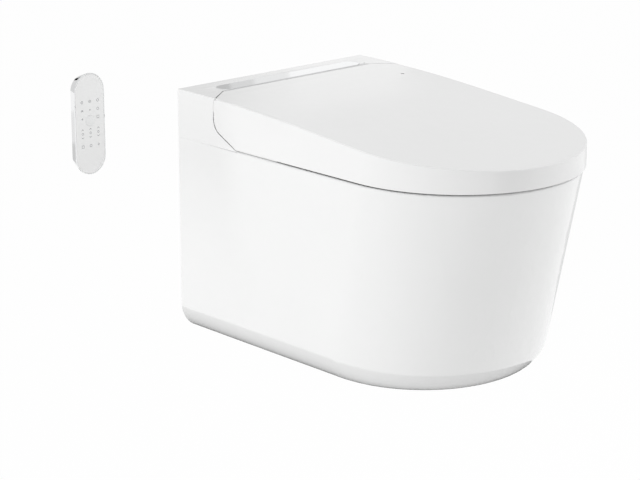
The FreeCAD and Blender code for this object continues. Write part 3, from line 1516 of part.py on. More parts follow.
def makeServices():
    """What the wall block holds: power, control, valves, water heater and pump."""
    base = plateTop
    left = f"-({halfWidth} - CaseInset)"
    front = "-UnitDepth"
    caseTop = f"{base} + CaseHeight"
    case = block(left, f"{left} + CaseLength", front, "-HousingWall - BoardRoom", base, caseTop)
    ribs = [
        block(
            f"{left} + ({i} + 0.4) * CaseLength / 7", f"{left} + ({i} + 0.7) * CaseLength / 7",
            front, "-HousingWall - BoardRoom", caseTop, f"{caseTop} + RibHeight",
        )
        for i in range(7)
    ]
    keep(join([case] + ribs), "power_supply")
    makeBoard(base)
    keep(makeValves(base), "valve_block")
    nipple = rod("y", inletSide, "-18", supplyZ, "SupplyRadius", "15")
    collar = rod("y", inletSide, "-22", supplyZ, "SupplyRadius + 2.5", "4.1")
    way = rod("y", inletSide, "-30", supplyZ, "SupplyRadius - 3.5", "40")
    keep(carve(join([nipple, collar]), [way]), "water_inlet")
    tank = rod("x", tankStart, "-UnitDepth + 20", f"{base} + TankRadius + 2", "TankRadius", "TankLength")
    necks = [
        rod(
            "z", f"{tankStart} + {share} * TankLength", "-UnitDepth + 20", f"{base} + 2 * TankRadius - 2",
            "3.5", "10",
        )
        for share in (0.14, 0.86)
    ]
    feet = [
        block(
            f"{tankStart} + {share} * TankLength - 4", f"{tankStart} + {share} * TankLength + 4",
            "-UnitDepth + 8", "-UnitDepth + 32", base, f"{base} + TankRadius / 2",
        )
        for share in (0.14, 0.86)
    ]
    keep(join([tank] + necks + feet), "water_heater")
    pump = rod("z", "-PumpSide", "-UnitDepth + 16", f"{base} + PumpHead - 1", "PumpRadius", "PumpHeight")
    head = block(
        "-PumpSide - PumpRadius - 1.5", "-PumpSide + PumpRadius + 1.5",
        "-UnitDepth + 2", "-UnitDepth + 30", base, f"{base} + PumpHead",
    )
    spout = rod("x", "-PumpSide + PumpRadius + 0.5", "-UnitDepth + 16", f"{base} + PumpHead / 2", "3", "12")
    keep(join([pump, head, spout]), "pump")
    tube = rod("y", f"-{inletSide}", "-13", supplyZ, "GlandRadius", "13")
    cableWay = rod("y", f"-{inletSide}", "-20", supplyZ, "CableRadius", "30")
    keep(carve(tube, [cableWay]), "cable_gland")


def makeBoard(base):
    """The upright control board with its components towards the room and four stand-offs behind."""
    face = "-HousingWall - BoardOff - BoardThick"
    low = f"{base} + BoardLift"
    board = block(
        "-BoardLeft", "-BoardLeft + BoardLength", face, "-HousingWall - BoardOff", low, f"{low} + BoardTall",
    )
    chips = [
        block(
            f"-BoardLeft + {along} * BoardLength", f"-BoardLeft + {along} * BoardLength + ChipSize",
            f"{face} - 3", f"{face} + 0.1",
            f"{low} + {up} * BoardTall", f"{low} + {up} * BoardTall + 0.75 * ChipSize",
        )
        for along, up in ((0.06, 0.12), (0.27, 0.58), (0.51, 0.16), (0.72, 0.62), (0.82, 0.2))
    ]
    stands = [
        rod(
            "y", f"-BoardLeft + {along} * BoardLength", "-HousingWall - BoardOff - 0.1",
            f"{low} + {up} * BoardTall", "2.5", "BoardOff + 0.1",
        )
        for along in (0.05, 0.95) for up in (0.1, 0.9)
    ]
    keep(join([board] + chips + stands), "control_board")


def makeValves(base):
    left = f"({halfWidth} - ValveInset)"
    manifold = block(left, f"{left} + ValveLength", "-UnitDepth", "-22.1", base, f"{base} + ValveHeight")
    coils = [
        rod(
            "z", f"{left} + {share} * ValveLength", "-UnitDepth + 14", f"{base} + ValveHeight - 1",
            "CoilRadius", "20",
        )
        for share in (0.26, 0.7)
    ]
    return join([manifold] + coils)


# ---------------------------------------------------------------- remote control

def stadium(width, height, y):
    """An upright oblong with round ends, in a plane parallel to the wall."""
    x = -size("RemoteSide")
    z = size("RemoteRise")
    half = width / 2
    straight = height / 2 - half
    left = x - half
    right = x + half
    upper = z + straight
    lower = z - straight
    edges = [
        Part.Arc(vector(left, y, upper), vector(x, y, upper + half), vector(right, y, upper)).toShape(),
        Part.makeLine(vector(right, y, upper), vector(right, y, lower)),
        Part.Arc(vector(right, y, lower), vector(x, y, lower - half), vector(left, y, lower)).toShape(),
        Part.makeLine(vector(left, y, lower), vector(left, y, upper)),
    ]
    return Part.Wire(edges)


def oblong(inset, front, back):
    """A flat oblong slab as large as the remote's front, inset all round."""
    wire = stadium(size("RemoteWidth") - 2 * inset, size("RemoteHeight") - 2 * inset, back)
    return Part.Face(wire).extrude(vector(0, front - back, 0))


def tapered(inset):
    """The remote's side form: upright at the front edge, drawn in towards the wall."""
    front = size(remoteFront)
    back = size(remoteBack)
    bend = front + size("FrameLip")
    wide = size("RemoteWidth") - 2 * inset
    tall = size("RemoteHeight") - 2 * inset
    draw = 2 * size("RemoteTaper")
    cone = Part.makeLoft([stadium(wide, tall, bend), stadium(wide - draw, tall - draw, back)], True, True)
    return cone.fuse(oblong(inset, front, bend))


def makeRemote():
    """The band, face, back, door, board and cells of the remote, its key, and the holder on the wall."""
    front = size(remoteFront)
    back = size(remoteBack)
    wall = size("FrameWall")
    band = tapered(0).cut(tapered(wall))
    band = band.cut(Part.makeBox(
        200, 50, 400, vector(-size("RemoteSide") - 100, back - 1, size("RemoteRise") - 200),
    ))
    band = band.cut(Part.makeBox(
        200, 50, 400, vector(-size("RemoteSide") - 100, front - 50 + 0.3, size("RemoteRise") - 200),
    ))
    shaped("remote_frame", solidOf(band))
    faceBack = front + size("FaceThick")
    face = oblong(wall + 0.15, front, faceBack)
    edges = [edge for edge in face.Edges if edge.BoundBox.YMax < front + 0.01]
    face = face.makeFillet(0.6, edges)
    keyX = -size("RemoteSide")
    keyZ = size("RemoteRise + KeyRise")
    hole = Part.makeCylinder(size("KeyRadius") + 0.15, 10, vector(keyX, front - 1, keyZ), yAxis)
    shaped("remote_face", solidOf(face.cut(hole)))

    tub = tapered(wall + 0.2)
    hollow = tapered(wall + 0.2 + size("TubWall"))
    floorAt = back - size("TubWall")
    hollow = hollow.cut(Part.makeBox(200, 50, 400, vector(keyX - 100, floorAt, keyZ - 200)))
    hollow = hollow.fuse(oblong(0, front - 1, faceBack + 0.1))
    doorRoom = Part.makeBox(
        2 * size("DoorHalf") + 0.4, 10, 2 * size("DoorTall") + 0.4,
        vector(keyX - size("DoorHalf") - 0.2, floorAt - 1, size("RemoteRise - DoorTall") - 0.2),
    )
    shaped("remote_back", solidOf(tub.cut([hollow, doorRoom])))
    door = Part.makeBox(
        2 * size("DoorHalf"), size("TubWall"), 2 * size("DoorTall"),
        vector(keyX - size("DoorHalf"), floorAt, size("RemoteRise - DoorTall")),
    )
    shaped("battery_door", door)
    boardAt = front + size("BoardDepth")
    boardRoom = tapered(wall + size("TubWall") + 0.4)
    shaped("remote_board", solidOf(oblong(0, boardAt, boardAt + size("BoardThick")).common(boardRoom)))
    cells = [
        Part.makeCylinder(
            size("CellRadius"), size("CellThick"),
            vector(
                keyX, floorAt - size("CellThick") - 0.1, size("RemoteRise") + lift * (size("CellRadius") + 0.5),
            ),
            yAxis,
        )
        for lift in (-1, 1)
    ]
    shaped("battery_cells", Part.makeCompound(cells))
    capStart = vector(keyX, front - 0.1, keyZ)
    cap = Part.makeCylinder(size("KeyRadius"), size("FaceThick") + 0.2, capStart, yAxis)
    rim = Part.makeCylinder(size("KeyRadius") + 1.2, 0.8, vector(keyX, faceBack + 0.1, keyZ), yAxis)
    stemLength = boardAt - faceBack - size("KeyTravel") - 0.2
    stem = Part.makeCylinder(2, stemLength, vector(keyX, faceBack, keyZ), yAxis)
    shaped("stop_key", solidOf(cap.fuse([rim, stem])))

    plate = oblong(size("HolderInset"), -size("HolderThick"), 0)
    rims = [edge for edge in plate.Edges if edge.BoundBox.YMax < -size("HolderThick") + 0.01]
    plate = plate.makeFillet(0.8, rims)
    tools = []
    magnets = []
    for lift in (-1, 1):
        z = size("RemoteRise") + lift * size("HolderSpacing") / 2
        tools.append(Part.makeCylinder(size("HolderBore"), 20, vector(keyX, -10, z), yAxis))
        magnetZ = size("RemoteRise") + lift * (size("HolderSpacing") / 2 - 16)
        deep = size("HolderThick") * 0.6
        tools.append(Part.makeCylinder(7.1, deep + 1, vector(keyX, -size("HolderThick") - 1, magnetZ), yAxis))
        magnets.append(Part.makeCylinder(7, deep, vector(keyX, -size("HolderThick"), magnetZ), yAxis))
    shaped("remote_holder", solidOf(plate.cut(tools)))
    shaped("holder_magnets", Part.makeCompound(magnets))


# ---------------------------------------------------------------- build, check and write

steps = [
    makeBowl, makeWallParts, makeHousing, makeBase, makeBaseBolts, makePosts, makeLid, makeLidParts,
    makeSeat, makeCover, makeWands, makeCarrier, makeMotors, makeAirParts, makeShroud, makeFlap,
    makeServices, makeRemote,
]
for step in steps:
    step()
makeFan("dryer", 1)
makeFan("odour", -1)
doc.recompute()

for item in doc.Objects:
    if "Invalid" in item.State or "Error" in item.State:
        raise RuntimeError(f"{item.Label} failed: {item.State}")
for piece in pieces:
    if piece.Shape.isNull() or not piece.Shape.isValid():
        raise RuntimeError(f"{piece.Label} has no valid shape")

os.makedirs("parts", exist_ok=True)
for piece in pieces:
    piece.Shape.exportStep(os.path.join("parts", piece.Label + ".step"))
print(len(pieces), "sub-parts written")
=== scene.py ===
import bpy
import bmesh
import json
import math
import numpy as np
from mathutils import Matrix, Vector


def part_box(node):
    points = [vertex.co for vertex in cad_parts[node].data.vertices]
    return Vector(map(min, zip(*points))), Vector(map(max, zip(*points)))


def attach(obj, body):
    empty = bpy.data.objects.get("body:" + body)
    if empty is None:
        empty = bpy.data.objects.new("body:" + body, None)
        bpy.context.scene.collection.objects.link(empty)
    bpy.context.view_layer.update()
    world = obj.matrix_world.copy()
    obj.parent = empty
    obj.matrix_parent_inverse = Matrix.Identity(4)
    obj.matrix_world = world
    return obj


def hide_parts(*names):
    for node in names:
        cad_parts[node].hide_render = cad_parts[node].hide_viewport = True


# Wall-hung shower toilet with its wall-held remote control. Metres, the same frame as the solids:
# x to the right seen from the room, y into the wall, z up, zero between the two wall fixings.

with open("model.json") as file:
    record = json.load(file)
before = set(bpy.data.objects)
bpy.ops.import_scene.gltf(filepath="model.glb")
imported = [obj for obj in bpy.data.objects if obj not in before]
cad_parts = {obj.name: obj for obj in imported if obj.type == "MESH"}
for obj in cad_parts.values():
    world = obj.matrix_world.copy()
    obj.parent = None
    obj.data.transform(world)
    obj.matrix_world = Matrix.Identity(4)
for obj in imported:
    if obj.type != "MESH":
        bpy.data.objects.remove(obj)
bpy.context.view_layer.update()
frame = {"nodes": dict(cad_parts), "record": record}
cad = frame["nodes"]
print("frame loaded:", len(cad), "nodes")


# each kind of finish has a function of its own, and the patterns read the place on the object
def newFinish(name, color, roughness, metallic=0.0, coat=0.0):
    finish = bpy.data.materials.new(name)
    finish.use_nodes = True
    tree = finish.node_tree
    shader = tree.nodes["Principled BSDF"]
    shader.inputs["Base Color"].default_value = (*color, 1)
    shader.inputs["Roughness"].default_value = roughness
    shader.inputs["Metallic"].default_value = metallic
    shader.inputs["Coat Weight"].default_value = coat
    shader.inputs["Coat Roughness"].default_value = 0.04
    shader.inputs["IOR"].default_value = 1.5
    where = tree.nodes.new("ShaderNodeTexCoord")
    return finish, tree, shader, where.outputs["Object"]


def stretched(tree, where, scale):
    mapping = tree.nodes.new("ShaderNodeMapping")
    mapping.inputs["Scale"].default_value = scale
    tree.links.new(where, mapping.inputs["Vector"])
    return mapping.outputs["Vector"]


def cloudy(tree, where, scale, detail=3.0, rough=0.5):
    noise = tree.nodes.new("ShaderNodeTexNoise")
    noise.inputs["Scale"].default_value = scale
    noise.inputs["Detail"].default_value = detail
    noise.inputs["Roughness"].default_value = rough
    tree.links.new(where, noise.inputs["Vector"])
    return noise.outputs["Fac"]


def grains(tree, where, scale):
    cells = tree.nodes.new("ShaderNodeTexVoronoi")
    cells.inputs["Scale"].default_value = scale
    cells.inputs["Randomness"].default_value = 1.0
    tree.links.new(where, cells.inputs["Vector"])
    return cells.outputs["Distance"]


def spread(tree, value, low, high):
    remap = tree.nodes.new("ShaderNodeMapRange")
    remap.inputs["From Min"].default_value = 0.3
    remap.inputs["From Max"].default_value = 0.7
    remap.inputs["To Min"].default_value = low
    remap.inputs["To Max"].default_value = high
    tree.links.new(value, remap.inputs["Value"])
    return remap.outputs["Result"]


def tinted(tree, value, dark, light, fromLow, fromHigh):
    ramp = tree.nodes.new("ShaderNodeValToRGB")
    ramp.color_ramp.elements[0].position = fromLow
    ramp.color_ramp.elements[0].color = (*dark, 1)
    ramp.color_ramp.elements[1].position = fromHigh
    ramp.color_ramp.elements[1].color = (*light, 1)
    tree.links.new(value, ramp.inputs["Fac"])
    return ramp.outputs["Color"]


def raised(tree, shader, value, height):
    bump = tree.nodes.new("ShaderNodeBump")
    bump.inputs["Strength"].default_value = 1.0
    bump.inputs["Distance"].default_value = height
    tree.links.new(value, bump.inputs["Height"])
    tree.links.new(bump.outputs["Normal"], shader.inputs["Normal"])


def roughened(tree, shader, value, low, high):
    tree.links.new(spread(tree, value, low, high), shader.inputs["Roughness"])


def shaded(tree, shader, value, dark, light, fromLow=0.3, fromHigh=0.7):
    tree.links.new(tinted(tree, value, dark, light, fromLow, fromHigh), shader.inputs["Base Color"])


def darker(color, share):
    return tuple(channel * share for channel in color)


def glazedCeramic():
    finish, tree, shader, where = newFinish("glazed ceramic", (0.9, 0.9, 0.9), 0.07, coat=0.6)
    body = cloudy(tree, where, 5.0, 4.0)
    shaded(tree, shader, body, (0.885, 0.888, 0.885), (0.905, 0.908, 0.906))
    roughened(tree, shader, cloudy(tree, where, 38.0), 0.05, 0.11)
    raised(tree, shader, cloudy(tree, where, 22.0, 1.5), 0.00035)
    return finish


def mouldedWhite(name, shade, roughness, peel):
    finish, tree, shader, where = newFinish(name, (shade, shade, shade), roughness)
    drift = cloudy(tree, where, 3.5, 2.0)
    dark = (shade - 0.008, shade - 0.006, shade - 0.008)
    light = (shade + 0.006, shade + 0.007, shade + 0.006)
    shaded(tree, shader, drift, dark, light)
    roughened(tree, shader, cloudy(tree, where, 60.0), roughness - 0.03, roughness + 0.04)
    raised(tree, shader, cloudy(tree, where, 700.0, 2.0), peel)
    return finish


def polishedMetal(name, color, roughness, along=(1, 40, 40)):
    finish, tree, shader, where = newFinish(name, color, roughness, metallic=1.0)
    wipes = cloudy(tree, stretched(tree, where, along), 60.0, 4.0, 0.6)
    roughened(tree, shader, wipes, roughness * 0.6, roughness * 1.8)
    raised(tree, shader, wipes, 0.000004)
    return finish


def turnedMetal(name, color, roughness, along):
    finish, tree, shader, where = newFinish(name, color, roughness, metallic=1.0)
    lines = cloudy(tree, stretched(tree, where, along), 90.0, 5.0, 0.7)
    roughened(tree, shader, lines, roughness - 0.08, roughness + 0.12)
    shaded(tree, shader, cloudy(tree, where, 25.0), darker(color, 0.86), color)
    raised(tree, shader, lines, 0.00002)
    return finish


def mattMoulding(name, color, roughness):
    finish, tree, shader, where = newFinish(name, color, roughness)
    shaded(tree, shader, cloudy(tree, where, 14.0), darker(color, 0.93), color)
    roughened(tree, shader, cloudy(tree, where, 90.0), roughness - 0.06, roughness + 0.06)
    raised(tree, shader, grains(tree, where, 900.0), 0.00004)
    return finish


def softRubber(name, color):
    finish, tree, shader, where = newFinish(name, color, 0.72)
    shaded(tree, shader, cloudy(tree, where, 30.0), darker(color, 0.85), color)
    raised(tree, shader, cloudy(tree, where, 1200.0, 2.0), 0.00005)
    return finish


def darkWindow():
    finish, tree, shader, where = newFinish("dark window", (0.012, 0.012, 0.014), 0.05, coat=1.0)
    roughened(tree, shader, cloudy(tree, where, 300.0), 0.03, 0.08)
    return finish


def circuitBoard():
    finish, tree, shader, where = newFinish("circuit board", (0.05, 0.22, 0.1), 0.35, coat=0.4)
    tracks = tree.nodes.new("ShaderNodeTexBrick")
    tracks.inputs["Scale"].default_value = 160.0
    tracks.inputs["Color1"].default_value = (0.03, 0.16, 0.07, 1)
    tracks.inputs["Color2"].default_value = (0.04, 0.2, 0.09, 1)
    tracks.inputs["Mortar"].default_value = (0.1, 0.34, 0.16, 1)
    tracks.inputs["Mortar Size"].default_value = 0.03
    tree.links.new(stretched(tree, where, (1, 0.6, 1)), tracks.inputs["Vector"])
    tree.links.new(tracks.outputs["Color"], shader.inputs["Base Color"])
    return finish


def carbonGrains():
    finish, tree, shader, where = newFinish("carbon grains", (0.03, 0.03, 0.03), 0.8)
    spots = grains(tree, where, 700.0)
    shaded(tree, shader, spots, (0.01, 0.01, 0.01), (0.07, 0.07, 0.07), 0.0, 0.8)
    raised(tree, shader, spots, 0.0006)
    return finish


def frostedLamp():
    finish, tree, shader, where = newFinish("frosted lamp", (0.86, 0.88, 0.9), 0.45)
    shader.inputs["Subsurface Weight"].default_value = 0.3
    shader.inputs["Subsurface Radius"].default_value = (0.004, 0.004, 0.005)
    raised(tree, shader, cloudy(tree, where, 900.0), 0.00003)
    return finish


finishes = {
    "ceramic": glazedCeramic(),
    "shell_white": mouldedWhite("lid and cover moulding", 0.9, 0.16, 0.000006),
    "seat_white": mouldedWhite("seat moulding", 0.9, 0.2, 0.000008),
    "module_white": mouldedWhite("module moulding", 0.87, 0.3, 0.00002),
    "trim_chrome": polishedMetal("polished strip", (0.9, 0.905, 0.91), 0.05),
    "remote_white": mouldedWhite("remote face", 0.96, 0.12, 0.000003),
    "remote_chrome": polishedMetal("remote band", (0.88, 0.885, 0.89), 0.05, (40, 40, 1)),
    "remote_grey": mattMoulding("remote back", (0.5, 0.51, 0.53), 0.5),
    "steel": turnedMetal("ground steel", (0.6, 0.6, 0.61), 0.28, (60, 1, 1)),
    "zinc_steel": turnedMetal("zinc-plated steel", (0.66, 0.67, 0.66), 0.38, (6, 6, 6)),
    "motor_steel": turnedMetal("pressed motor can", (0.56, 0.57, 0.58), 0.33, (40, 4, 4)),
    "bush_plastic": mattMoulding("bush moulding", (0.76, 0.74, 0.68), 0.42),
    "sleeve_plastic": mattMoulding("sleeve moulding", (0.7, 0.7, 0.68), 0.5),
    "seal_rubber": softRubber("seal rubber", (0.03, 0.03, 0.03)),
    "pad_rubber": softRubber("pale pad rubber", (0.74, 0.75, 0.75)),
    "lens_black": darkWindow(),
    "lamp_milky": frostedLamp(),
    "foil": turnedMetal("heating foil", (0.75, 0.7, 0.62), 0.4, (30, 30, 30)),
    "fins": turnedMetal("heater fins", (0.7, 0.71, 0.72), 0.35, (4, 50, 4)),
    "wand_white": mouldedWhite("wand moulding", 0.84, 0.24, 0.00001),
    "tip_white": mouldedWhite("nozzle head", 0.89, 0.16, 0.000006),
    "gear_plastic": mattMoulding("gear moulding", (0.8, 0.78, 0.72), 0.4),
    "inner_grey": mattMoulding("inner moulding", (0.34, 0.35, 0.36), 0.55),
    "fan_dark": mattMoulding("fan moulding", (0.06, 0.06, 0.065), 0.45),
    "carbon": carbonGrains(),
    "board_green": circuitBoard(),
    "valve_brass": turnedMetal("machined brass", (0.72, 0.55, 0.28), 0.3, (5, 40, 5)),
    "cell_steel": turnedMetal("plated cell", (0.72, 0.72, 0.71), 0.25, (20, 20, 20)),
    "key_grey": mattMoulding("key moulding", (0.95, 0.955, 0.955), 0.25),
}
slotOf = {entry["node"]: entry["material_slot"] for entry in frame["record"]["subparts"]}
bodyOf = {node: body for body, members in frame["record"]["behaviour"]["bodies"].items() for node in members}
for node, part in cad.items():
    part.data.materials.clear()
    part.data.materials.append(finishes[slotOf[node]])
print("finishes made:", len(finishes))


# degrees past which an edge stays sharp, and how near two corners are joined
forms = {"markAngle": 35.0, "joinWithin": 1e-6, "sharpAngle": 32.0, "normalWeight": 80}


def addPiece(name, points, faces, body, slot):
    mesh = bpy.data.meshes.new(name)
    mesh.from_pydata(points.tolist(), [], faces.tolist())
    mesh.validate()
    piece = bpy.data.objects.new(name, mesh)
    bpy.context.scene.collection.objects.link(piece)
    mesh.materials.append(finishes[slot])
    smoothed(piece, forms["markAngle"])
    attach(piece, body)


def smoothed(piece, angle):
    piece.data.shade_smooth()
    piece.data.set_sharp_from_angle(angle=math.radians(angle))


def copiedForm(node):
    # the solid's own surface with its loose triangles joined, so that curves shade smoothly
    mesh = cad[node].data.copy()
    mesh.name = "fine_" + node
    work = bmesh.new()
    work.from_mesh(mesh)
    bmesh.ops.remove_doubles(work, verts=work.verts, dist=forms["joinWithin"])
    work.to_mesh(mesh)
    work.free()
    piece = bpy.data.objects.new("fine_" + node, mesh)
    bpy.context.scene.collection.objects.link(piece)
    mesh.materials.clear()
    mesh.materials.append(finishes[slotOf[node]])
    smoothed(piece, forms["sharpAngle"])
    weigh = piece.modifiers.new("weigh", "WEIGHTED_NORMAL")
    weigh.keep_sharp = True
    weigh.weight = forms["normalWeight"]
    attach(piece, bodyOf[node])
    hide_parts(node)


for node in sorted(cad):
    copiedForm(node)
print("smooth forms made")


# signs printed on the remote's face: places from its middle, across and up
faceLow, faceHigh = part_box("remote_face")
printing = {
    "lift": 0.00004,
    "columns": (-0.014, 0.0, 0.014),
    "upperRows": (0.0335, 0.021, 0.009),
    "arrowRows": (-0.007, -0.019),
    "middleRow": -0.013,
    "lowRow": -0.032,
    "stroke": 0.0006,
    "ringRadius": 0.0022,
    "smallRing": 0.00176,
    "dotRadius": 0.00096,
    "ringBarHalf": 0.00132,
    "barHalf": 0.0019,
    "arrowReach": 0.0015,
    "arrowAside": 0.7,
    "arrowTilt": 40,
}


def ringMark(u, v, outer, inner, turns=28):
    # a flat ring: angle round it times the way from its inner to its outer edge
    angle, reach = np.meshgrid(np.linspace(0, 2 * math.pi, turns + 1), (inner, outer))
    return gridMark(u + reach * np.cos(angle), v + reach * np.sin(angle))


def barMark(u, v, half, stroke, turn=0.0):
    # a flat bar, turned about its middle
    along, across = np.meshgrid((-half, half), (stroke / 2, -stroke / 2))
    cosine = math.cos(turn)
    sine = math.sin(turn)
    return gridMark(u + along * cosine - across * sine, v + along * sine + across * cosine)


def gridMark(across, upward):
    # a flat sheet on a grid of places, one face between each four neighbours, turned to the front
    rows, columns = across.shape
    points = np.stack([across, np.zeros_like(across), upward], -1).reshape(-1, 3)
    corner = (np.arange(rows - 1)[:, None] * columns + np.arange(columns - 1)).ravel()
    faces = np.stack([corner, corner + 1, corner + columns + 1, corner + columns], -1)
    first, second, third = points[faces[0][:3]]
    if np.cross(second - first, third - first)[1] > 0:
        faces = faces[:, ::-1]
    return points, faces


def arrowMark(u, v, way):
    # two bars that lean together, upward where way is 1 and downward where it is -1
    reach = printing["arrowReach"]
    tilt = way * math.radians(printing["arrowTilt"])
    aside = reach * printing["arrowAside"] * math.cos(tilt)
    stroke = printing["stroke"]
    return [barMark(u - aside, v, reach, stroke, tilt), barMark(u + aside, v, reach, stroke, -tilt)]


def crossMark(u, v):
    # a level bar and an upright one through the same middle
    return [barMark(u, v, printing["barHalf"], printing["stroke"], turn) for turn in (0.0, math.pi / 2)]


def frameMark(u, v):
    # four bars along the sides of a square
    half = printing["barHalf"]
    sides = ((0, half, 0.0), (0, -half, 0.0), (half, 0, math.pi / 2), (-half, 0, math.pi / 2))
    return [barMark(u + du, v + dv, half, printing["stroke"], turn) for du, dv, turn in sides]


def joinedMarks(marks):
    # all marks as one set of points, each mark's faces counted on from the points before it
    starts = np.cumsum([0] + [len(points) for points, _ in marks])
    points = np.concatenate([points for points, _ in marks])
    return points, np.concatenate([faces + start for (_, faces), start in zip(marks, starts)])


def faceMarks():
    left, middle, right = printing["columns"]
    high, second, third = printing["upperRows"]
    ring = printing["ringRadius"]
    small = printing["smallRing"]
    stroke = printing["stroke"]
    marks = [ringMark(u, high, ring, ring - stroke) for u in printing["columns"]]
    marks += [ringMark(left, high, stroke, 0.0), barMark(middle, high, printing["ringBarHalf"], stroke)]
    marks += arrowMark(left, second + stroke, 1) + arrowMark(left, second - stroke, 1)
    marks.append(ringMark(middle, second, printing["dotRadius"], 0.0))
    marks.append(ringMark(right, second, ring, ring - stroke))
    marks += crossMark(left, third) + frameMark(right, third)
    upper, lower = printing["arrowRows"]
    for u in printing["columns"]:
        marks += arrowMark(u, upper, 1) + arrowMark(u, lower, -1)
        marks.append(ringMark(u, printing["middleRow"], small, small - stroke))
    marks += frameMark(left, printing["lowRow"]) + crossMark(right, printing["lowRow"])
    marks.append(ringMark(middle, printing["lowRow"], ring, ring - stroke))
    return joinedMarks(marks)


def printedMarks(name, marks, low, high, body):
    points, faces = marks
    middle = np.array([(low[0] + high[0]) / 2, low[1] - printing["lift"], (low[2] + high[2]) / 2])
    addPiece(name, points + middle, faces, body, "inner_grey")


printedMarks("remote_marks", faceMarks(), faceLow, faceHigh, bodyOf["remote_face"])
print("marks printed")


# where the camera stands, and how bright the sky is to it, in mirrors and on the surfaces
studio = {
    "cameraTarget": (-0.18, -0.304, 0.0),
    "cameraTurn": -42.844,
    "cameraRise": 16.344,
    "cameraDistance": 3.055,
    "cameraLens": 120.26,
    "skyForCamera": 1.0,
    "skyForGloss": 0.74,
    "skyForLight": 0.71,
    "floorLevel": -0.9,
    "floorReach": 6.0,
    "floorGlowShare": 0.97,
}


def floorMaterial():
    # white to the camera and in mirrors, a pale matt surface to all other light
    made = bpy.data.materials.new("floor")
    made.use_nodes = True
    tree = made.node_tree
    tree.nodes.clear()
    out = tree.nodes.new("ShaderNodeOutputMaterial")
    plain = tree.nodes.new("ShaderNodeBsdfDiffuse")
    plain.inputs["Color"].default_value = (0.9, 0.9, 0.9, 1)
    glow = tree.nodes.new("ShaderNodeEmission")
    glow.inputs["Strength"].default_value = studio["skyForCamera"]
    rays = tree.nodes.new("ShaderNodeLightPath")
    either = tree.nodes.new("ShaderNodeMath")
    either.operation = "MAXIMUM"
    tree.links.new(rays.outputs["Is Camera Ray"], either.inputs[0])
    tree.links.new(rays.outputs["Is Glossy Ray"], either.inputs[1])
    share = tree.nodes.new("ShaderNodeMath")
    share.operation = "MULTIPLY"
    share.inputs[1].default_value = studio["floorGlowShare"]
    tree.links.new(either.outputs[0], share.inputs[0])
    mix = tree.nodes.new("ShaderNodeMixShader")
    tree.links.new(share.outputs[0], mix.inputs["Fac"])
    tree.links.new(plain.outputs[0], mix.inputs[1])
    tree.links.new(glow.outputs[0], mix.inputs[2])
    tree.links.new(mix.outputs[0], out.inputs["Surface"])
    return made


def makeWorld():
    world = bpy.data.worlds.new("studio")
    bpy.context.scene.world = world
    world.use_nodes = True
    tree = world.node_tree
    tree.nodes.clear()
    out = tree.nodes.new("ShaderNodeOutputWorld")
    light = tree.nodes.new("ShaderNodeBackground")
    light.inputs["Strength"].default_value = studio["skyForLight"]
    seen = tree.nodes.new("ShaderNodeBackground")
    seen.inputs["Strength"].default_value = studio["skyForCamera"]
    gloss = tree.nodes.new("ShaderNodeBackground")
    gloss.inputs["Strength"].default_value = studio["skyForGloss"]
    for sky in (light, seen, gloss):
        sky.inputs["Color"].default_value = (1, 1, 1, 1)
    rays = tree.nodes.new("ShaderNodeLightPath")
    mirrored = tree.nodes.new("ShaderNodeMath")
    mirrored.operation = "MAXIMUM"
    tree.links.new(rays.outputs["Is Glossy Ray"], mirrored.inputs[0])
    tree.links.new(rays.outputs["Is Transmission Ray"], mirrored.inputs[1])
    first = tree.nodes.new("ShaderNodeMixShader")
    tree.links.new(mirrored.outputs[0], first.inputs["Fac"])
    tree.links.new(light.outputs[0], first.inputs[1])
    tree.links.new(gloss.outputs[0], first.inputs[2])
    second = tree.nodes.new("ShaderNodeMixShader")
    tree.links.new(rays.outputs["Is Camera Ray"], second.inputs["Fac"])
    tree.links.new(first.outputs[0], second.inputs[1])
    tree.links.new(seen.outputs[0], second.inputs[2])
    tree.links.new(second.outputs[0], out.inputs["Surface"])


def makeFloor():
    reach = studio["floorReach"]
    level = studio["floorLevel"]
    mesh = bpy.data.meshes.new("floor")
    corners = [(-reach, -reach, level), (reach, -reach, level), (reach, reach, level), (-reach, reach, level)]
    mesh.from_pydata(corners, [], [(0, 1, 2, 3)])
    floor = bpy.data.objects.new("floor", mesh)
    bpy.context.scene.collection.objects.link(floor)
    mesh.materials.append(floorMaterial())


def softbox(name, place, aim, size, power):
    light = bpy.data.lights.new(name, "AREA")
    light.shape = "RECTANGLE"
    light.size, light.size_y = size
    light.energy = power
    lamp = bpy.data.objects.new(name, light)
    bpy.context.scene.collection.objects.link(lamp)
    lamp.location = place
    lamp.rotation_mode = "QUATERNION"
    lamp.rotation_quaternion = (Vector(aim) - Vector(place)).to_track_quat("-Z", "Y")
    lamp.visible_glossy = False


# the lamps light the surfaces; what the glaze and the metal mirror is set by the sky and the cards
softboxes = {
    "leftBox": {"place": (-2.6, -0.9, 0.7), "aim": (0, -0.3, 0), "size": (1.8, 2.2), "power": 3.0},
    "leftRear": {"place": (-2.4, 0.4, 0.9), "aim": (0, -0.3, 0), "size": (1.4, 1.8), "power": 18.0},
    "rightBox": {"place": (2.4, -1.5, 0.3), "aim": (0, -0.3, 0), "size": (1.2, 1.8), "power": 14.0},
    "rightSide": {"place": (2.6, -0.2, 0.6), "aim": (0, -0.3, 0), "size": (1.2, 1.8), "power": 2.0},
    "rightHigh": {"place": (1.8, -0.6, 2.0), "aim": (0, -0.3, 0), "size": (1.4, 1.4), "power": 9.0},
}


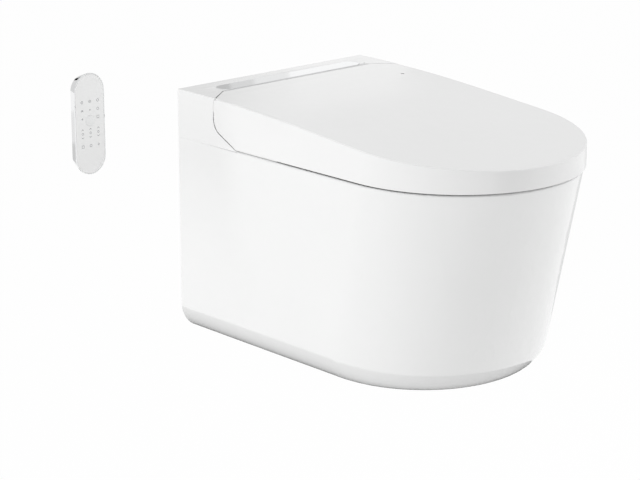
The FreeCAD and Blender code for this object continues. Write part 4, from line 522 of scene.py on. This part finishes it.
def stageCard(name, centre, aim, size, glow, corners=4):
    # a flat card, its corners in even steps round an ellipse, seen only mirrored in the object
    mesh = bpy.data.meshes.new(name)
    turns = (np.arange(corners) + 0.5) * 2 * math.pi / corners
    reach = 0.5 / math.cos(math.pi / corners)
    width, height = size
    points = np.stack([width * reach * np.cos(turns), height * reach * np.sin(turns), np.zeros(corners)], -1)
    mesh.from_pydata(points.tolist(), [], [tuple(range(corners))])
    card = bpy.data.objects.new(name, mesh)
    bpy.context.scene.collection.objects.link(card)
    card.location = centre
    card.rotation_mode = "QUATERNION"
    card.rotation_quaternion = (Vector(aim) - Vector(centre)).to_track_quat("Z", "Y")
    paint = bpy.data.materials.new(name)
    paint.use_nodes = True
    tree = paint.node_tree
    tree.nodes.clear()
    out = tree.nodes.new("ShaderNodeOutputMaterial")
    lit = tree.nodes.new("ShaderNodeEmission")
    lit.inputs["Strength"].default_value = glow
    tree.links.new(lit.outputs[0], out.inputs["Surface"])
    mesh.materials.append(paint)
    card.visible_camera = False
    card.visible_diffuse = False
    card.visible_shadow = False


# dark cards darken the nose, the foot and the polished edges, bright ones give the side its window light
stageCards = {
    "noseCard": {"centre": (0.06, -2.2, 0.0), "aim": (0, -0.4, 0), "size": (0.24, 1.5), "glow": 0.05},
    "lidCard": {"centre": (0.15, -2.25, -0.27), "aim": (0.15, -0.4, 0.12), "size": (1.1, 0.16), "glow": 0.05},
    "footCard": {
        "centre": (0, 0.1, -0.6), "aim": (0, 0.1, 0), "size": (1.5, 2.0), "glow": 0.05, "corners": 40,
    },
    "edgeCard": {"centre": (1.9, 0.75, -0.2), "aim": (0, -0.4, 0), "size": (1.2, 2.0), "glow": 0.72},
    "windowCard": {"centre": (-1.42, 0.85, -0.5), "aim": (0, -0.3, 0), "size": (0.5, 0.6), "glow": 1.05},
    "stripDark": {"centre": (0.92, 1.55, 0.7), "aim": (0.92, 0, 0.17), "size": (0.66, 0.6), "glow": 0.55},
    "stripGrey": {"centre": (1.29, 1.55, 0.7), "aim": (1.29, 0, 0.17), "size": (0.08, 0.6), "glow": 0.72},
    "stripPale": {"centre": (1.39, 1.55, 0.7), "aim": (1.39, 0, 0.17), "size": (0.12, 0.6), "glow": 0.86},
    "stripBright": {"centre": (1.7, 1.55, 0.7), "aim": (1.7, 0, 0.17), "size": (0.5, 0.6), "glow": 1.0},
    "cornerCard": {"centre": (0.11, 1.48, 0.42), "aim": (-0.39, 0, 0.22), "size": (0.24, 0.3), "glow": 0.01},
    "bandPale": {"centre": (-0.32, 1.55, -0.22), "aim": (-0.39, 0, 0.1), "size": (0.5, 0.07), "glow": 0.85},
    "bandGrey": {"centre": (-0.32, 1.55, -0.42), "aim": (-0.39, 0, 0.1), "size": (0.5, 0.33), "glow": 0.66},
}


def makeCamera():
    view = bpy.data.cameras.new("camera")
    view.lens = studio["cameraLens"]
    view.sensor_width = 36
    view.clip_end = 100
    camera = bpy.data.objects.new("camera", view)
    bpy.context.scene.collection.objects.link(camera)
    turn = math.radians(studio["cameraTurn"])
    rise = math.radians(studio["cameraRise"])
    back = Vector((math.sin(turn) * math.cos(rise), -math.cos(turn) * math.cos(rise), math.sin(rise)))
    camera.location = Vector(studio["cameraTarget"]) + back * studio["cameraDistance"]
    camera.rotation_mode = "QUATERNION"
    camera.rotation_quaternion = (-back).to_track_quat("-Z", "Y")
    bpy.context.scene.camera = camera


makeWorld()
makeFloor()
for name, box in softboxes.items():
    softbox(name, **box)
for name, card in stageCards.items():
    stageCard(name, **card)
makeCamera()
bpy.context.scene.view_settings.view_transform = "Standard"
print("studio ready")
